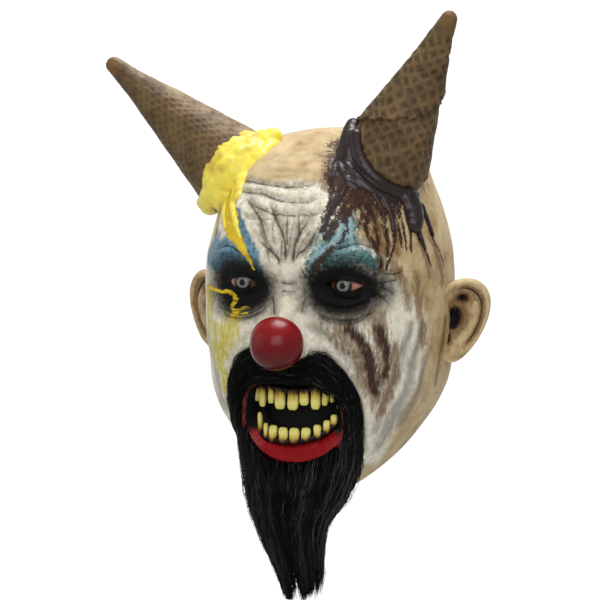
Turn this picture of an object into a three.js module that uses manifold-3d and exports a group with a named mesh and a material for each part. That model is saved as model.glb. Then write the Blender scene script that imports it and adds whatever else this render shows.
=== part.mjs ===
// Full-head clown mask with two waffle-cone horns, in millimetres.
// +Z is up, the wearer faces -Y and +X is the wearer's left.
// The origin is inside the crown, where the top of the wearer's head touches the mask.

import * as THREE from 'three';
import { mergeVertices } from 'three/addons/utils/BufferGeometryUtils.js';
import Module from 'manifold-3d';

const wasm = await Module();
wasm.setup();

// Driving dimensions
const wall = 1.8;                                    // latex skin
const seatGap = 0.3;                                 // clearance between pieces that rest on each other
const heart = new THREE.Vector3(0, -10, -135);       // rays that shape the head start here
const mouthCentre = new THREE.Vector3(0, -112, -214);
const mouth = { half: 41, rise: 21, drop: 28.5, square: 2.9, depth: 26, slope: 0.08 };
const lip = { roll: 5, width: 0.032, upperShare: 0.35 };
const rim = { y: 20, z: -243, slope: 0.5 };          // the neck opening lies on one tilted plane
const eye = { x: 41.7, y: -97, z: -115, radius: 13.5 };
const slit = { half: 15.5, up: 5.5, down: 5, deep: 60 };
const ear = { x: 105, y: -9, z: -150, half: 24, tall: 34, thick: 4.5, lean: 6, taper: 0.25, turn: 31 };
const helix = { at: 0.85, width: 0.2, rise: 5 };     // the ear's curled edge, by share of its radius
const concha = { at: 0.1, width: 0.45, sink: 6 };    // the ear's bowl
const nose = { y: -147, z: -158, radius: 21.5 };
const cone = { radius: 37, tip: 5, stub: 27, stubLength: 40, roll: 2, twist: 0.7 };
const toothArch = { y: -107, sweep: 11, half: 36, thick: 6, taper: 0.64, overrun: 7, gumShare: 0.5 };
const gumBar = { root: 4, tip: 4, sides: 6, steps: 8, ridge: 0, flat: 1 };
const stock = 800;                                   // blocks that cut space in two are this wide

// Grids that carry the head: columns run round the mouth, rings run from it to the back of the skull.
const skinGrid = { columns: 44, rings: 36 };
const hollowGrid = { columns: 24, rings: 18 };
const columnBias = 0.45;                             // crowds the columns towards the forehead
const mouthShare = 1 / 9;                            // share of the rings inside the mouth
const faceShare = 7 / 9;                             // share of the rings up to the edge of the face
const faceAngle = THREE.MathUtils.degToRad(86);

// Level sections of the head: half width, and where its front, widest place and back lie along Y.
// boxy is the power of the front half's curve, 2 for an ellipse.
const sectionRows = [
  { z: 2.5, half: 0, front: 0, middle: 0, back: 0, boxy: 2 },
  { z: -8, half: 48, front: -58, middle: -6, back: 57, boxy: 2 },
  { z: -24, half: 67, front: -86, middle: -10, back: 77, boxy: 2.05 },
  { z: -42, half: 80, front: -102, middle: -14, back: 88, boxy: 2.1 },
  { z: -60, half: 89, front: -113, middle: -16, back: 94, boxy: 2.25 },
  { z: -90, half: 96, front: -122, middle: -16, back: 98, boxy: 2.4 },
  { z: -114, half: 98, front: -122, middle: -14, back: 99, boxy: 2.4 },
  { z: -140, half: 98, front: -120, middle: -12, back: 98, boxy: 2.35 },
  { z: -170, half: 97, front: -118, middle: -10, back: 95, boxy: 2.3 },
  { z: -199, half: 93, front: -117, middle: -8, back: 90, boxy: 2.3 },
  { z: -220, half: 84, front: -117, middle: -10, back: 85, boxy: 2.3 },
  { z: -237, half: 73, front: -117, middle: -14, back: 78, boxy: 2.3 },
  { z: -256, half: 59, front: -116, middle: -22, back: 60, boxy: 2.2 },
  { z: -272, half: 44, front: -112, middle: -36, back: 30, boxy: 2 },
  { z: -284, half: 28, front: -102, middle: -50, back: 0, boxy: 2 },
  { z: -292, half: 0, front: -70, middle: -70, back: -70, boxy: 2 },
];

// Swells and hollows of the face, mirrored about the middle.
const swellRows = [
  { part: 'inner brow', x: 17, z: -103, across: 13, tall: 8, rise: 5 },
  { part: 'outer brow', x: 46, z: -94, across: 20, tall: 8, rise: 6 },
  { part: 'socket', x: 42, z: -117, across: 24, tall: 13, rise: -12 },
  { part: 'eye bag', x: 44, z: -135, across: 20, tall: 6, rise: 3 },
  { part: 'nose root', x: 0, z: -112, across: 13, tall: 10, rise: -3 },
  { part: 'nose bridge', x: 0, z: -142, across: 11, tall: 16, rise: 9 },
  { part: 'nose tip', x: 0, z: -160, across: 17, tall: 13, rise: 10 },
  { part: 'nostril wing', x: 20, z: -167, across: 8, tall: 8, rise: 7 },
  { part: 'cheekbone', x: 60, z: -158, across: 20, tall: 22, rise: 7 },
  { part: 'mouth fold', x: 54, z: -190, across: 8, tall: 26, rise: -3 },
  { part: 'jowl', x: 74, z: -205, across: 18, tall: 22, rise: 3 },
  { part: 'temple', x: 82, z: -85, across: 14, tall: 22, rise: -3 },
  { part: 'chin', x: 0, z: -266, across: 24, tall: 14, rise: 5 },
];

// Wrinkles across the forehead, lowest in the middle.
const foldRows = [
  { z: -34, sag: 2, half: 42, deep: 2 },
  { z: -43, sag: 6, half: 46, deep: 2.2 },
  { z: -56, sag: 3, half: 42, deep: 1.8 },
];
const foldWidth = 4;

// Frown furrows that fan up the forehead from the root of the nose.
const frownRows = [
  { fromX: -3, fromZ: -101, toX: -18, toZ: -52, deep: 2.4 },
  { fromX: 3, fromZ: -101, toX: 17, toZ: -62, deep: 2.4 },
  { fromX: -14, fromZ: -97, toX: -43, toZ: -48, deep: 2 },
  { fromX: 14, fromZ: -97, toX: 40, toZ: -58, deep: 2 },
];
const frownWidth = 4;

// The two cones, from the middle of the rim to the point, and where their melted collars run.
// turn is the angle round the cone, out the collar's stand beyond the rim and low its reach down the head.
// A drip runs from the collar at a turn to a place on the face, and a lump stands up along the cone.
const coneRows = [
  {
    name: 'cone_left',
    melt: 'chocolate_melt',
    rim: new THREE.Vector3(52.5, -38, -20),
    point: new THREE.Vector3(112, -51, 98),
    collar: [
      { turn: 0, out: 4, low: 7 },
      { turn: 90, out: 4, low: 7 },
      { turn: 180, out: 6, low: 9 },
      { turn: 270, out: 6, low: 9 },
      { turn: 360, out: 4, low: 7 },
    ],
    drips: [
      { turn: 215, toX: 20, toZ: -20, radius: 8, lift: 3 },
      { turn: 275, toX: 42, toZ: -62, radius: 6, lift: -1 },
      { turn: 325, toX: 86, toZ: -74, radius: 8, lift: 1 },
    ],
    lumps: [{ turn: 235, up: 24, radius: 8 }],
  },
  {
    name: 'cone_right',
    melt: 'vanilla_melt',
    rim: new THREE.Vector3(-76, -34, -33),
    point: new THREE.Vector3(-183, -45, 57),
    collar: [
      { turn: 0, out: 7, low: 10 },
      { turn: 90, out: 5, low: 8 },
      { turn: 180, out: 4, low: 7 },
      { turn: 270, out: 7, low: 10 },
      { turn: 360, out: 7, low: 10 },
    ],
    drips: [
      { turn: 350, toX: -30, toZ: -14, radius: 9, lift: 1 },
      { turn: 310, toX: -40, toZ: -34, radius: 9, lift: 0 },
      { turn: 240, toX: -72, toZ: -74, radius: 8, lift: -1 },
    ],
    lumps: [],
  },
];

// Teeth from the wearer's right to the left, with the two ends and the width of each.
const upperToothRows = [
  { x: -33.8, root: -198, edge: -210.5, width: 4.7 },
  { x: -28.5, root: -197.5, edge: -214.5, width: 5.9 },
  { x: -20, root: -198, edge: -211, width: 5.4 },
  { x: -11.7, root: -199, edge: -215, width: 9.2 },
  { x: -0.8, root: -200, edge: -215, width: 9.5 },
  { x: 8.6, root: -199.5, edge: -211, width: 7.8 },
  { x: 17.4, root: -197, edge: -214, width: 8.1 },
  { x: 24.2, root: -196.5, edge: -211, width: 5.6 },
  { x: 29.5, root: -195.5, edge: -208.5, width: 3.8 },
];
const lowerToothRows = [
  { x: -31.5, root: -234.5, edge: -219, width: 3.8 },
  { x: -25.3, root: -238.5, edge: -227, width: 3.8 },
  { x: -17.8, root: -239.5, edge: -228, width: 7.4 },
  { x: -9, root: -240, edge: -229, width: 8.1 },
  { x: 0.6, root: -239.5, edge: -229, width: 8.7 },
  { x: 10.2, root: -237.5, edge: -228.5, width: 8.1 },
  { x: 18.6, root: -235, edge: -226, width: 6.5 },
  { x: 25.9, root: -231, edge: -222.5, width: 5.9 },
  { x: 31, root: -225.5, edge: -218, width: 5.6 },
];

// The beard's backing, from the corners of the mouth to the ragged tip.
const beardRows = [
  { z: -236, x: 0, y: -92, half: 56, thick: 28 },
  { z: -250, x: 1, y: -94, half: 53, thick: 32 },
  { z: -266, x: 1, y: -97, half: 49, thick: 32 },
  { z: -287, x: -1, y: -102, half: 42, thick: 24 },
  { z: -304, x: -4, y: -105, half: 32, thick: 18 },
  { z: -325, x: -2, y: -106, half: 25, thick: 13 },
  { z: -346, x: 2, y: -105, half: 18, thick: 9 },
  { z: -358, x: 4, y: -104, half: 12, thick: 6 },
];
const beardStrip = { sides: 20, steps: 7, ridge: 0.14 };
const beardTip = { root: 6, tip: 1, sides: 5, steps: 2, ridge: 0, flat: 0.8 };
const beardTips = { count: 4, spread: 8, above: 22, long: 9, short: 5.4 };

// The moustache's run round one side of the mouth
const moustacheRows = [
  { x: 0, z: -182 },
  { x: 24, z: -180 },
  { x: 42, z: -190 },
  { x: 49, z: -210 },
  { x: 50, z: -246 },
];
const moustacheStrip = { root: 9.5, tip: 9.5, sides: 10, steps: 12, ridge: 0.2, flat: 0.8, lift: 1.5 };
const hairline = -240;                               // the moustache ends and the beard begins here
const lipRoom = { half: 44, drop: 42, depth: 100 };  // the beard leaves the lower lip bare

// Materials
const latex = new THREE.MeshStandardMaterial({ color: 0xd9ceb2, roughness: 0.6, metalness: 0 });
const waffle = new THREE.MeshStandardMaterial({ color: 0x8c6b3f, roughness: 0.75, metalness: 0 });
const chocolate = new THREE.MeshStandardMaterial({ color: 0x2b1d19, roughness: 0.2, metalness: 0 });
const vanilla = new THREE.MeshStandardMaterial({ color: 0xf0dd3f, roughness: 0.35, metalness: 0 });
const noseRed = new THREE.MeshStandardMaterial({ color: 0x9c1518, roughness: 0.15, metalness: 0 });
const eyeWhite = new THREE.MeshStandardMaterial({ color: 0xcfc6ba, roughness: 0.15, metalness: 0 });
const enamel = new THREE.MeshStandardMaterial({ color: 0xd6c968, roughness: 0.35, metalness: 0 });
const hair = new THREE.MeshStandardMaterial({ color: 0x0d0d0e, roughness: 0.6, metalness: 0 });

const mask = new THREE.Group();

// Solids in and out of the boolean library
function solidOf(geometry) {
  geometry.deleteAttribute('normal');
  geometry.deleteAttribute('uv');
  const merged = mergeVertices(geometry);
  const vertProperties = Float32Array.from(merged.attributes.position.array);
  const triVerts = Uint32Array.from(merged.index.array);
  return new wasm.Manifold(new wasm.Mesh({ numProp: 3, vertProperties, triVerts }));
}

function addPiece(name, solid, material) {
  const { vertProperties, triVerts } = solid.getMesh();
  const geometry = new THREE.BufferGeometry();
  geometry.setAttribute('position', new THREE.BufferAttribute(vertProperties, 3));
  geometry.setIndex(new THREE.BufferAttribute(triVerts, 1));
  geometry.computeVertexNormals();
  const piece = new THREE.Mesh(geometry, material);
  piece.name = name;
  mask.add(piece);
}

// Moves every vertex of a geometry by a function of its place and its uv.
function reshape(geometry, move) {
  const { position, uv } = geometry.attributes;
  const at = new THREE.Vector3();
  for (let i = 0; i < position.count; i += 1) {
    at.fromBufferAttribute(position, i);
    const moved = move(at, uv.getX(i), uv.getY(i));
    position.setXYZ(i, moved.x, moved.y, moved.z);
  }
  return geometry;
}

// A table with named columns becomes a smooth function of one of them.
function smoothTable(rows, key, columns) {
  const sorted = [...rows].sort((one, other) => one[key] - other[key]);
  const places = Float32Array.from(sorted, (row) => row[key]);
  const values = Float32Array.from(sorted.flatMap((row) => columns.map((column) => row[column])));
  const curve = new THREE.CubicInterpolant(places, values, columns.length);
  return (place) => {
    const found = curve.evaluate(place);
    return Object.fromEntries(columns.map((column, i) => [column, found[i]]));
  };
}

// Head surface: squared half axes vary smoothly with height, so the crown and the chin come out round.
const axisRows = sectionRows.map((row) => ({
  z: row.z,
  wide: row.half ** 2,
  ahead: (row.middle - row.front) ** 2,
  behind: (row.back - row.middle) ** 2,
  middle: row.middle,
  boxy: row.boxy,
}));
const sectionAt = smoothTable(axisRows, 'z', ['wide', 'ahead', 'behind', 'middle', 'boxy']);
const crownTop = sectionRows[0].z;
const chinBottom = sectionRows[sectionRows.length - 1].z;
const thinnest = 0.01;
const farthestSkin = 260;

function isInsideHead(x, y, z) {
  if (z > crownTop || z < chinBottom) return false;
  const section = sectionAt(z);
  const ahead = y < section.middle;
  const power = ahead ? section.boxy : 2;
  const depth = Math.sqrt(Math.max(ahead ? section.ahead : section.behind, thinnest));
  const half = Math.sqrt(Math.max(section.wide, thinnest));
  return (Math.abs(x) / half) ** power + (Math.abs(y - section.middle) / depth) ** power < 1;
}

// The last distance from start along direction that is still inside the head.
function distanceInside(start, direction) {
  let near = 0;
  let far = farthestSkin;
  for (let step = 0; step < 40; step += 1) {
    const half = (near + far) / 2;
    const x = start.x + direction.x * half;
    const y = start.y + direction.y * half;
    const z = start.z + direction.z * half;
    if (isInsideHead(x, y, z)) near = half;
    else far = half;
  }
  return near;
}

function bell(distance, width) {
  return Math.exp(-((distance / width) ** 2));
}

function distanceToLine(x, z, row) {
  const alongX = row.toX - row.fromX;
  const alongZ = row.toZ - row.fromZ;
  const share = ((x - row.fromX) * alongX + (z - row.fromZ) * alongZ) / (alongX ** 2 + alongZ ** 2);
  const kept = THREE.MathUtils.clamp(share, 0, 1);
  return Math.hypot(x - row.fromX - alongX * kept, z - row.fromZ - alongZ * kept);
}

// How far the skin stands out from the plain head at a place on the face.
function relief(x, y, z) {
  const onFace = THREE.MathUtils.smoothstep(-y, -10, 40);
  let rise = 0;
  for (const row of swellRows) {
    rise += row.rise * bell(Math.abs(x) - row.x, row.across) * bell(z - row.z, row.tall);
  }
  for (const row of foldRows) {
    const line = row.z - row.sag * (1 - (x / row.half) ** 2);
    rise -= row.deep * bell(z - line, foldWidth) * bell(x, row.half);
  }
  for (const row of frownRows) {
    rise -= row.deep * bell(distanceToLine(x, z, row), frownWidth);
  }
  return rise * onFace;
}

// Rays from the heart, by the angle away from the mouth's axis and the angle round it.
const mouthAxis = mouthCentre.clone().sub(heart).normalize();
const mouthReach = mouthCentre.distanceTo(heart);
const mouthSide = new THREE.Vector3(1, 0, 0);
const mouthDown = mouthSide.clone().cross(mouthAxis);

function rayDirection(around, away) {
  return mouthAxis.clone().multiplyScalar(Math.cos(away))
    .addScaledVector(mouthSide, -Math.cos(around) * Math.sin(away))
    .addScaledVector(mouthDown, Math.sin(around) * Math.sin(away));
}

// Angle from the mouth's axis to the edge of the lips.
function lipAngle(around) {
  const across = Math.abs(Math.cos(around));
  const down = Math.sin(around);
  const tall = down > 0 ? mouth.drop : mouth.rise;
  const size = ((across / mouth.half) ** mouth.square + (Math.abs(down) / tall) ** mouth.square);
  return Math.atan(size ** (-1 / mouth.square) / mouthReach);
}

// Distance from the heart to the plain head, before the face is put on it.
function plainReach(around, away) {
  return distanceInside(heart, rayDirection(around, away));
}

// What the face, the lips and the mouth add to the plain head.
function faceRise(around, away, plain) {
  const at = rayDirection(around, away).multiplyScalar(plain).add(heart);
  const edge = lipAngle(around);
  const rise = relief(at.x, at.y, at.z);
  if (away < edge) {
    return rise - mouth.depth * THREE.MathUtils.smoothstep(1 - away / edge, 0, mouth.slope);
  }
  const lower = THREE.MathUtils.smoothstep(Math.sin(around), -0.3, 0.5);
  const fullness = lip.upperShare + (1 - lip.upperShare) * lower;
  return rise + lip.roll * fullness * bell(away - edge - lip.width, lip.width);
}

function skinReach(around, away) {
  const plain = plainReach(around, away);
  return plain + faceRise(around, away, plain);
}

// Distance to the inside, a wall's thickness under the lowest part of the face nearby.
const nearbyAround = Math.PI / hollowGrid.columns;
const nearbyAway = 0.04;

function hollowReach(around, away) {
  let lowest = Infinity;
  for (const side of [-1, 0, 1]) {
    for (const beyond of [-1, 0, 1]) {
      const turn = around + side * nearbyAround;
      const ring = THREE.MathUtils.clamp(away + beyond * nearbyAway, 0, Math.PI);
      lowest = Math.min(lowest, faceRise(turn, ring, plainReach(turn, ring)));
    }
  }
  const plain = plainReach(around, away);
  const ahead = plainReach(around, Math.min(away + nearbyAway, Math.PI));
  const behind = plainReach(around, Math.max(away - nearbyAway, 0));
  const steepness = (ahead - behind) / (2 * nearbyAway * plain);
  return plain + lowest - wall * Math.hypot(1, steepness);
}

function ringAngle(share, around) {
  const edge = lipAngle(around);
  if (share < mouthShare) return edge * (1 - (1 - share / mouthShare) ** 2);
  if (share < faceShare) {
    return edge + (faceAngle - edge) * (share - mouthShare) / (faceShare - mouthShare);
  }
  return faceAngle + (Math.PI - faceAngle) * (share - faceShare) / (1 - faceShare);
}

function headSolid(grid, reachAt) {
  const sphere = new THREE.SphereGeometry(1, grid.columns, grid.rings);
  reshape(sphere, (at, u, v) => {
    const isPole = v === 0 || v === 1;
    const turn = isPole ? 0 : 2 * Math.PI * u;
    const around = turn - columnBias * Math.cos(turn);
    const away = ringAngle(1 - v, around);
    return rayDirection(around, away).multiplyScalar(reachAt(around, away)).add(heart);
  });
  return solidOf(sphere);
}

// Ears: flat rounds with a curled edge and a bowl, leaning out at the top.
function earSolid(side) {
  const turn = THREE.MathUtils.degToRad(ear.turn);
  const outward = new THREE.Vector3(Math.cos(turn) * side, Math.sin(turn), 0);
  const facing = new THREE.Vector3(Math.sin(turn) * side, -Math.cos(turn), 0);
  const disc = new THREE.SphereGeometry(1, 16, 10);
  reshape(disc, (at) => {
    const fromMiddle = Math.hypot(at.x, at.z);
    const across = ear.half * at.x * (1 - ear.taper * at.z) - ear.lean * at.z;
    const curl = helix.rise * bell(fromMiddle - helix.at, helix.width);
    const bowl = concha.sink * bell(fromMiddle - concha.at, concha.width);
    const inBowl = THREE.MathUtils.clamp(at.y * 3, 0, 1);
    return new THREE.Vector3(ear.x * side, ear.y, ear.z - ear.tall * at.z)
      .addScaledVector(outward, across)
      .addScaledVector(facing, ear.thick * at.y + curl - bowl * inBowl);
  });
  if (side < 0) disc.index.array.reverse();
  return solidOf(disc);
}

// Almond slit through the skin in front of an eye, made smaller by trim.
function eyeSlit(side, trim) {
  const half = slit.half - trim;
  const outline = new THREE.Shape();
  outline.moveTo(-half, 0);
  outline.quadraticCurveTo(0, 2 * (slit.up - trim), half, 0);
  outline.quadraticCurveTo(0, -2 * (slit.down - trim), -half, 0);
  const settings = { depth: slit.deep, bevelEnabled: false, curveSegments: 6 };
  const prism = new THREE.ExtrudeGeometry(outline, settings);
  prism.rotateX(Math.PI / 2);
  prism.translate(eye.x * side, eye.y, eye.z);
  return solidOf(prism);
}

// Everything below the tilted plane of the neck opening
function belowRim() {
  const block = new THREE.BoxGeometry(stock, stock, stock);
  block.translate(0, 0, -stock / 2);
  block.rotateX(Math.atan(rim.slope));
  block.translate(0, rim.y, rim.z);
  return solidOf(block);
}

const skin = headSolid(skinGrid, skinReach);
const seat = headSolid(skinGrid, (around, away) => skinReach(around, away) + seatGap);
const hollow = headSolid(hollowGrid, hollowReach);
const hollowRoom = headSolid(hollowGrid, (around, away) => hollowReach(around, away) - seatGap);

const shell = skin.add(earSolid(1)).add(earSolid(-1))
  .subtract(hollow)
  .subtract(eyeSlit(1, 0))
  .subtract(eyeSlit(-1, 0))
  .subtract(belowRim());
addPiece('mask_shell', shell, latex);

// Eyes: half domes that lie behind the skin and fill the slit.
function eyeSolid(side) {
  const steps = 4;
  const profile = [new THREE.Vector2(0, 0)];
  for (let i = 0; i < steps; i += 1) {
    const angle = Math.PI / 2 * i / steps;
    profile.push(new THREE.Vector2(eye.radius * Math.cos(angle), eye.radius * Math.sin(angle)));
  }
  profile.push(new THREE.Vector2(0, eye.radius));
  const dome = new THREE.LatheGeometry(profile, 12);
  dome.rotateX(Math.PI);
  dome.translate(eye.x * side, eye.y, eye.z);
  const solid = solidOf(dome);
  return solid.intersect(hollowRoom).add(solid.intersect(eyeSlit(side, seatGap)));
}

addPiece('eye_left', eyeSolid(1), eyeWhite);
addPiece('eye_right', eyeSolid(-1), eyeWhite);

// Nose ball, seated on the tip of the cast nose
const ball = new THREE.SphereGeometry(nose.radius, 16, 10);
ball.rotateX(Math.PI / 2);
ball.translate(0, nose.y, nose.z);
addPiece('clown_nose', solidOf(ball).subtract(seat), noseRed);

const grownBall = new THREE.SphereGeometry(nose.radius + seatGap, 16, 10);
grownBall.rotateX(Math.PI / 2);
grownBall.translate(0, nose.y, nose.z);
const noseRoom = solidOf(grownBall);

// A point on the front of the head at a given x and height, lifted off the skin.
function frontPoint(x, z, lift) {
  const section = sectionAt(z);
  const share = Math.min(Math.abs(x) / Math.sqrt(section.wide), 1);
  const bow = (1 - share ** section.boxy) ** (1 / section.boxy);
  const y = section.middle - Math.sqrt(section.ahead) * bow;
  return new THREE.Vector3(x, y - relief(x, y, z) - lift, z);
}

// A strip along a smooth path, its section set by root and tip radii, with ridges like combed locks.
const ahead = new THREE.Vector3(0, -1, 0);

function lockSwell(at, size) {
  const ripple = Math.cos(Math.atan2(at.z, at.x) * size.sides / 2);
  return 1 - size.ridge * (1 + ripple) / 2;
}

function stripSolid(points, size) {
  const path = new THREE.CatmullRomCurve3(points);
  const tube = new THREE.CylinderGeometry(size.tip, size.root, 1, size.sides, size.steps);
  reshape(tube, (at) => {
    const share = at.y + 0.5;
    const along = path.getTangent(share);
    const side = along.clone().cross(ahead).normalize();
    const front = side.clone().cross(along);
    const swell = lockSwell(at, size);
    return path.getPoint(share)
      .addScaledVector(side, at.x * swell)
      .addScaledVector(front, at.z * swell * size.flat);
  });
  return solidOf(tube);
}

// Cones: rolled wafer with an overlapping seam, a rim, and a stub that reaches into the head.
function coneFrame(row) {
  const along = row.point.clone().sub(row.rim);
  const length = along.length();
  along.normalize();
  const tilt = new THREE.Quaternion().setFromUnitVectors(new THREE.Vector3(0, 0, 1), along);
  return { along, length, tilt };
}

function coneSolid(row, grow) {
  const { length, tilt } = coneFrame(row);
  const steps = 5;
  const profile = [
    new THREE.Vector2(0, -cone.stubLength - grow),
    new THREE.Vector2(cone.stub + grow, -cone.stubLength - grow),
    new THREE.Vector2(cone.stub + grow, -grow),
  ];
  for (let i = 0; i <= steps; i += 1) {
    const share = i / steps;
    const radius = cone.radius + (cone.tip - cone.radius) * share;
    profile.push(new THREE.Vector2(radius + grow, share * (length - cone.tip) - (i ? 0 : grow)));
  }
  profile.push(new THREE.Vector2(cone.tip / 2 + grow, length - 1));
  profile.push(new THREE.Vector2(0, length + grow));
  const body = new THREE.LatheGeometry(profile, 22);
  reshape(body, (at, u) => {
    const reach = Math.hypot(at.x, at.z);
    const rolled = at.y > -grow - thinnest && reach > cone.tip + grow ? 1 : 0;
    const turn = (u + cone.twist * at.y / length + 1) % 1;
    const wider = reach > 0 ? (reach + rolled * cone.roll * (turn - 0.5)) / reach : 1;
    return new THREE.Vector3(at.x * wider, at.y, at.z * wider);
  });
  body.rotateX(Math.PI / 2);
  body.applyQuaternion(tilt);
  body.translate(row.rim.x, row.rim.y, row.rim.z);
  return solidOf(body);
}

// How far a point drops along a direction before it meets the head.
function dropToHead(start, direction) {
  const nearest = -20;
  const farthest = 70;
  for (let distance = nearest; distance < farthest; distance += 1) {
    const at = start.clone().addScaledVector(direction, distance);
    if (isInsideHead(at.x, at.y, at.z)) return distance;
  }
  return farthest;
}

// Melted collar: a fat ring that fills the room between the cone's rim and the head.
const collarInset = 2;

function collarCentre(row, turn) {
  const { along, tilt } = coneFrame(row);
  const radial = new THREE.Vector3(Math.cos(turn), Math.sin(turn), 0).applyQuaternion(tilt);
  const edge = row.rim.clone().addScaledVector(radial, cone.radius - collarInset);
  const drop = dropToHead(edge, along.clone().negate());
  return { centre: edge.addScaledVector(along, -drop / 2), drop, along, radial };
}

function collarSolid(row) {
  const sizeAt = smoothTable(row.collar, 'turn', ['out', 'low']);
  const ring = new THREE.TorusGeometry(1, 0.5, 6, 18);
  reshape(ring, (at, u, v) => {
    const size = sizeAt(360 * u);
    const { centre, drop, along, radial } = collarCentre(row, 2 * Math.PI * u);
    const half = Math.abs(drop) / 2 + size.low;
    return centre
      .addScaledVector(along, half * Math.sin(2 * Math.PI * v))
      .addScaledVector(radial, (size.out + collarInset) * Math.cos(2 * Math.PI * v));
  });
  return solidOf(ring);
}

function runSolid(from, to, radius) {
  const run = to.clone().sub(from);
  const drop = new THREE.CapsuleGeometry(radius, run.length(), 2, 7);
  const turn = new THREE.Quaternion().setFromUnitVectors(new THREE.Vector3(0, 1, 0), run.normalize());
  const middle = from.clone().add(to).multiplyScalar(0.5);
  drop.applyQuaternion(turn);
  drop.translate(middle.x, middle.y, middle.z);
  return solidOf(drop);
}

function dripSolid(row, drip) {
  const { centre } = collarCentre(row, THREE.MathUtils.degToRad(drip.turn));
  return runSolid(centre, frontPoint(drip.toX, drip.toZ, drip.lift), drip.radius);
}

function lumpSolid(row, lump) {
  const { centre, along } = collarCentre(row, THREE.MathUtils.degToRad(lump.turn));
  return runSolid(centre, centre.clone().addScaledVector(along, lump.up), lump.radius);
}

for (const row of coneRows) {
  addPiece(row.name, coneSolid(row, 0).subtract(seat), waffle);
  const drips = row.drips.map((drip) => dripSolid(row, drip));
  const lumps = row.lumps.map((lump) => lumpSolid(row, lump));
  const melt = [...drips, ...lumps].reduce((all, run) => all.add(run), collarSolid(row));
  const material = row.melt === 'chocolate_melt' ? chocolate : vanilla;
  addPiece(row.melt, melt.subtract(coneSolid(row, seatGap)).subtract(seat), material);
}

// Teeth: tapered pegs on a curved gum that is seated in the mouth.
function archPoint(x, z) {
  return new THREE.Vector3(x, toothArch.y + toothArch.sweep * (x / toothArch.half) ** 2, z);
}

function toothSolid(row) {
  const tall = Math.abs(row.edge - row.root);
  const peg = new THREE.CylinderGeometry(0.5, 0.5 * toothArch.taper, tall, 6, 1);
  peg.scale(row.width, 1, toothArch.thick);
  peg.rotateX(row.edge > row.root ? Math.PI / 2 : -Math.PI / 2);
  const at = archPoint(row.x, (row.edge + row.root) / 2);
  peg.translate(at.x, at.y, at.z);
  return solidOf(peg);
}

function teethSolid(rows) {
  const ends = [rows[0], rows[rows.length - 1]];
  const reach = ends.map((row) => ({ ...row, x: row.x + Math.sign(row.x) * toothArch.overrun }));
  const path = [reach[0], ...rows, reach[1]].map((row) => {
    const at = archPoint(row.x, THREE.MathUtils.lerp(row.root, row.edge, toothArch.gumShare));
    return at.setY(at.y + gumBar.root);
  });
  const teeth = rows.map(toothSolid);
  return teeth.reduce((all, tooth) => all.add(tooth), stripSolid(path, gumBar)).subtract(seat);
}

addPiece('upper_teeth', teethSolid(upperToothRows), enamel);
addPiece('lower_teeth', teethSolid(lowerToothRows), enamel);

// Half of space above or below a level
function slab(side, level) {
  const block = new THREE.BoxGeometry(stock, stock, stock);
  block.translate(0, 0, level + side * stock / 2);
  return solidOf(block);
}

// Moustache: one ridged strip from corner to corner, under the nose and down both sides of the mouth.
function moustacheSolid() {
  const right = moustacheRows.slice(1).reverse().map((row) => ({ ...row, x: -row.x }));
  const rows = [...right, ...moustacheRows];
  const points = rows.map((row) => frontPoint(row.x, row.z, moustacheStrip.lift));
  return stripSolid(points, moustacheStrip)
    .subtract(seat)
    .subtract(noseRoom)
    .intersect(slab(1, hairline + seatGap));
}

addPiece('moustache', moustacheSolid(), hair);

// Beard: a ridged backing that hangs from the jaw, with ragged tips fused to its end.
const beardAt = smoothTable(beardRows, 'z', ['x', 'y', 'half', 'thick']);
const beardTop = beardRows[0].z;
const beardEnd = beardRows[beardRows.length - 1].z;

function beardSolid() {
  const backing = new THREE.CylinderGeometry(1, 1, 1, beardStrip.sides, beardStrip.steps);
  reshape(backing, (at) => {
    const z = THREE.MathUtils.lerp(beardEnd, beardTop, at.y + 0.5);
    const row = beardAt(z);
    const swell = lockSwell(at, beardStrip);
    return new THREE.Vector3(row.x + row.half * at.x * swell, row.y - row.thick * at.z * swell, z);
  });
  const tips = [];
  const end = beardAt(beardEnd);
  for (let i = 0; i < beardTips.count; i += 1) {
    const x = end.x + beardTips.spread * (2 * i / (beardTips.count - 1) - 1);
    const below = i % 2 ? beardTips.short : beardTips.long;
    const top = new THREE.Vector3(x, end.y, beardEnd + beardTips.above);
    const bottom = new THREE.Vector3(x, end.y, beardEnd - below);
    tips.push(stripSolid([top, bottom], beardTip));
  }
  const outline = new THREE.Shape();
  outline.absellipse(0, mouthCentre.z, lipRoom.half, lipRoom.drop, 0, 2 * Math.PI);
  const settings = { depth: lipRoom.depth, bevelEnabled: false, curveSegments: 8 };
  const notch = new THREE.ExtrudeGeometry(outline, settings);
  notch.rotateX(Math.PI / 2);
  notch.translate(0, mouthCentre.y + lipRoom.depth / 2, 0);
  return tips.reduce((all, tip) => all.add(tip), solidOf(backing))
    .subtract(solidOf(notch))
    .subtract(seat)
    .intersect(slab(-1, hairline));
}

addPiece('beard', beardSolid(), hair);

export default mask;
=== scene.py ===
import math

import bmesh
import bpy
import numpy as np
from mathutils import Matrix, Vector


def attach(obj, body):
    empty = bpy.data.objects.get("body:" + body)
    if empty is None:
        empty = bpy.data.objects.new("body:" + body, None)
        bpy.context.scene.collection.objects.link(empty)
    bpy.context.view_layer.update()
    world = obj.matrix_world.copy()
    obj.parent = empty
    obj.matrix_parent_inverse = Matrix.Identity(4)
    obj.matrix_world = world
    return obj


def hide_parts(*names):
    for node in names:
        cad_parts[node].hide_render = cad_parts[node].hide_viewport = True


# Painted latex clown mask with waffle-cone horns, dressed over its solids.
# Sizes in the tables are millimetres and degrees; the meshes are in metres.

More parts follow.
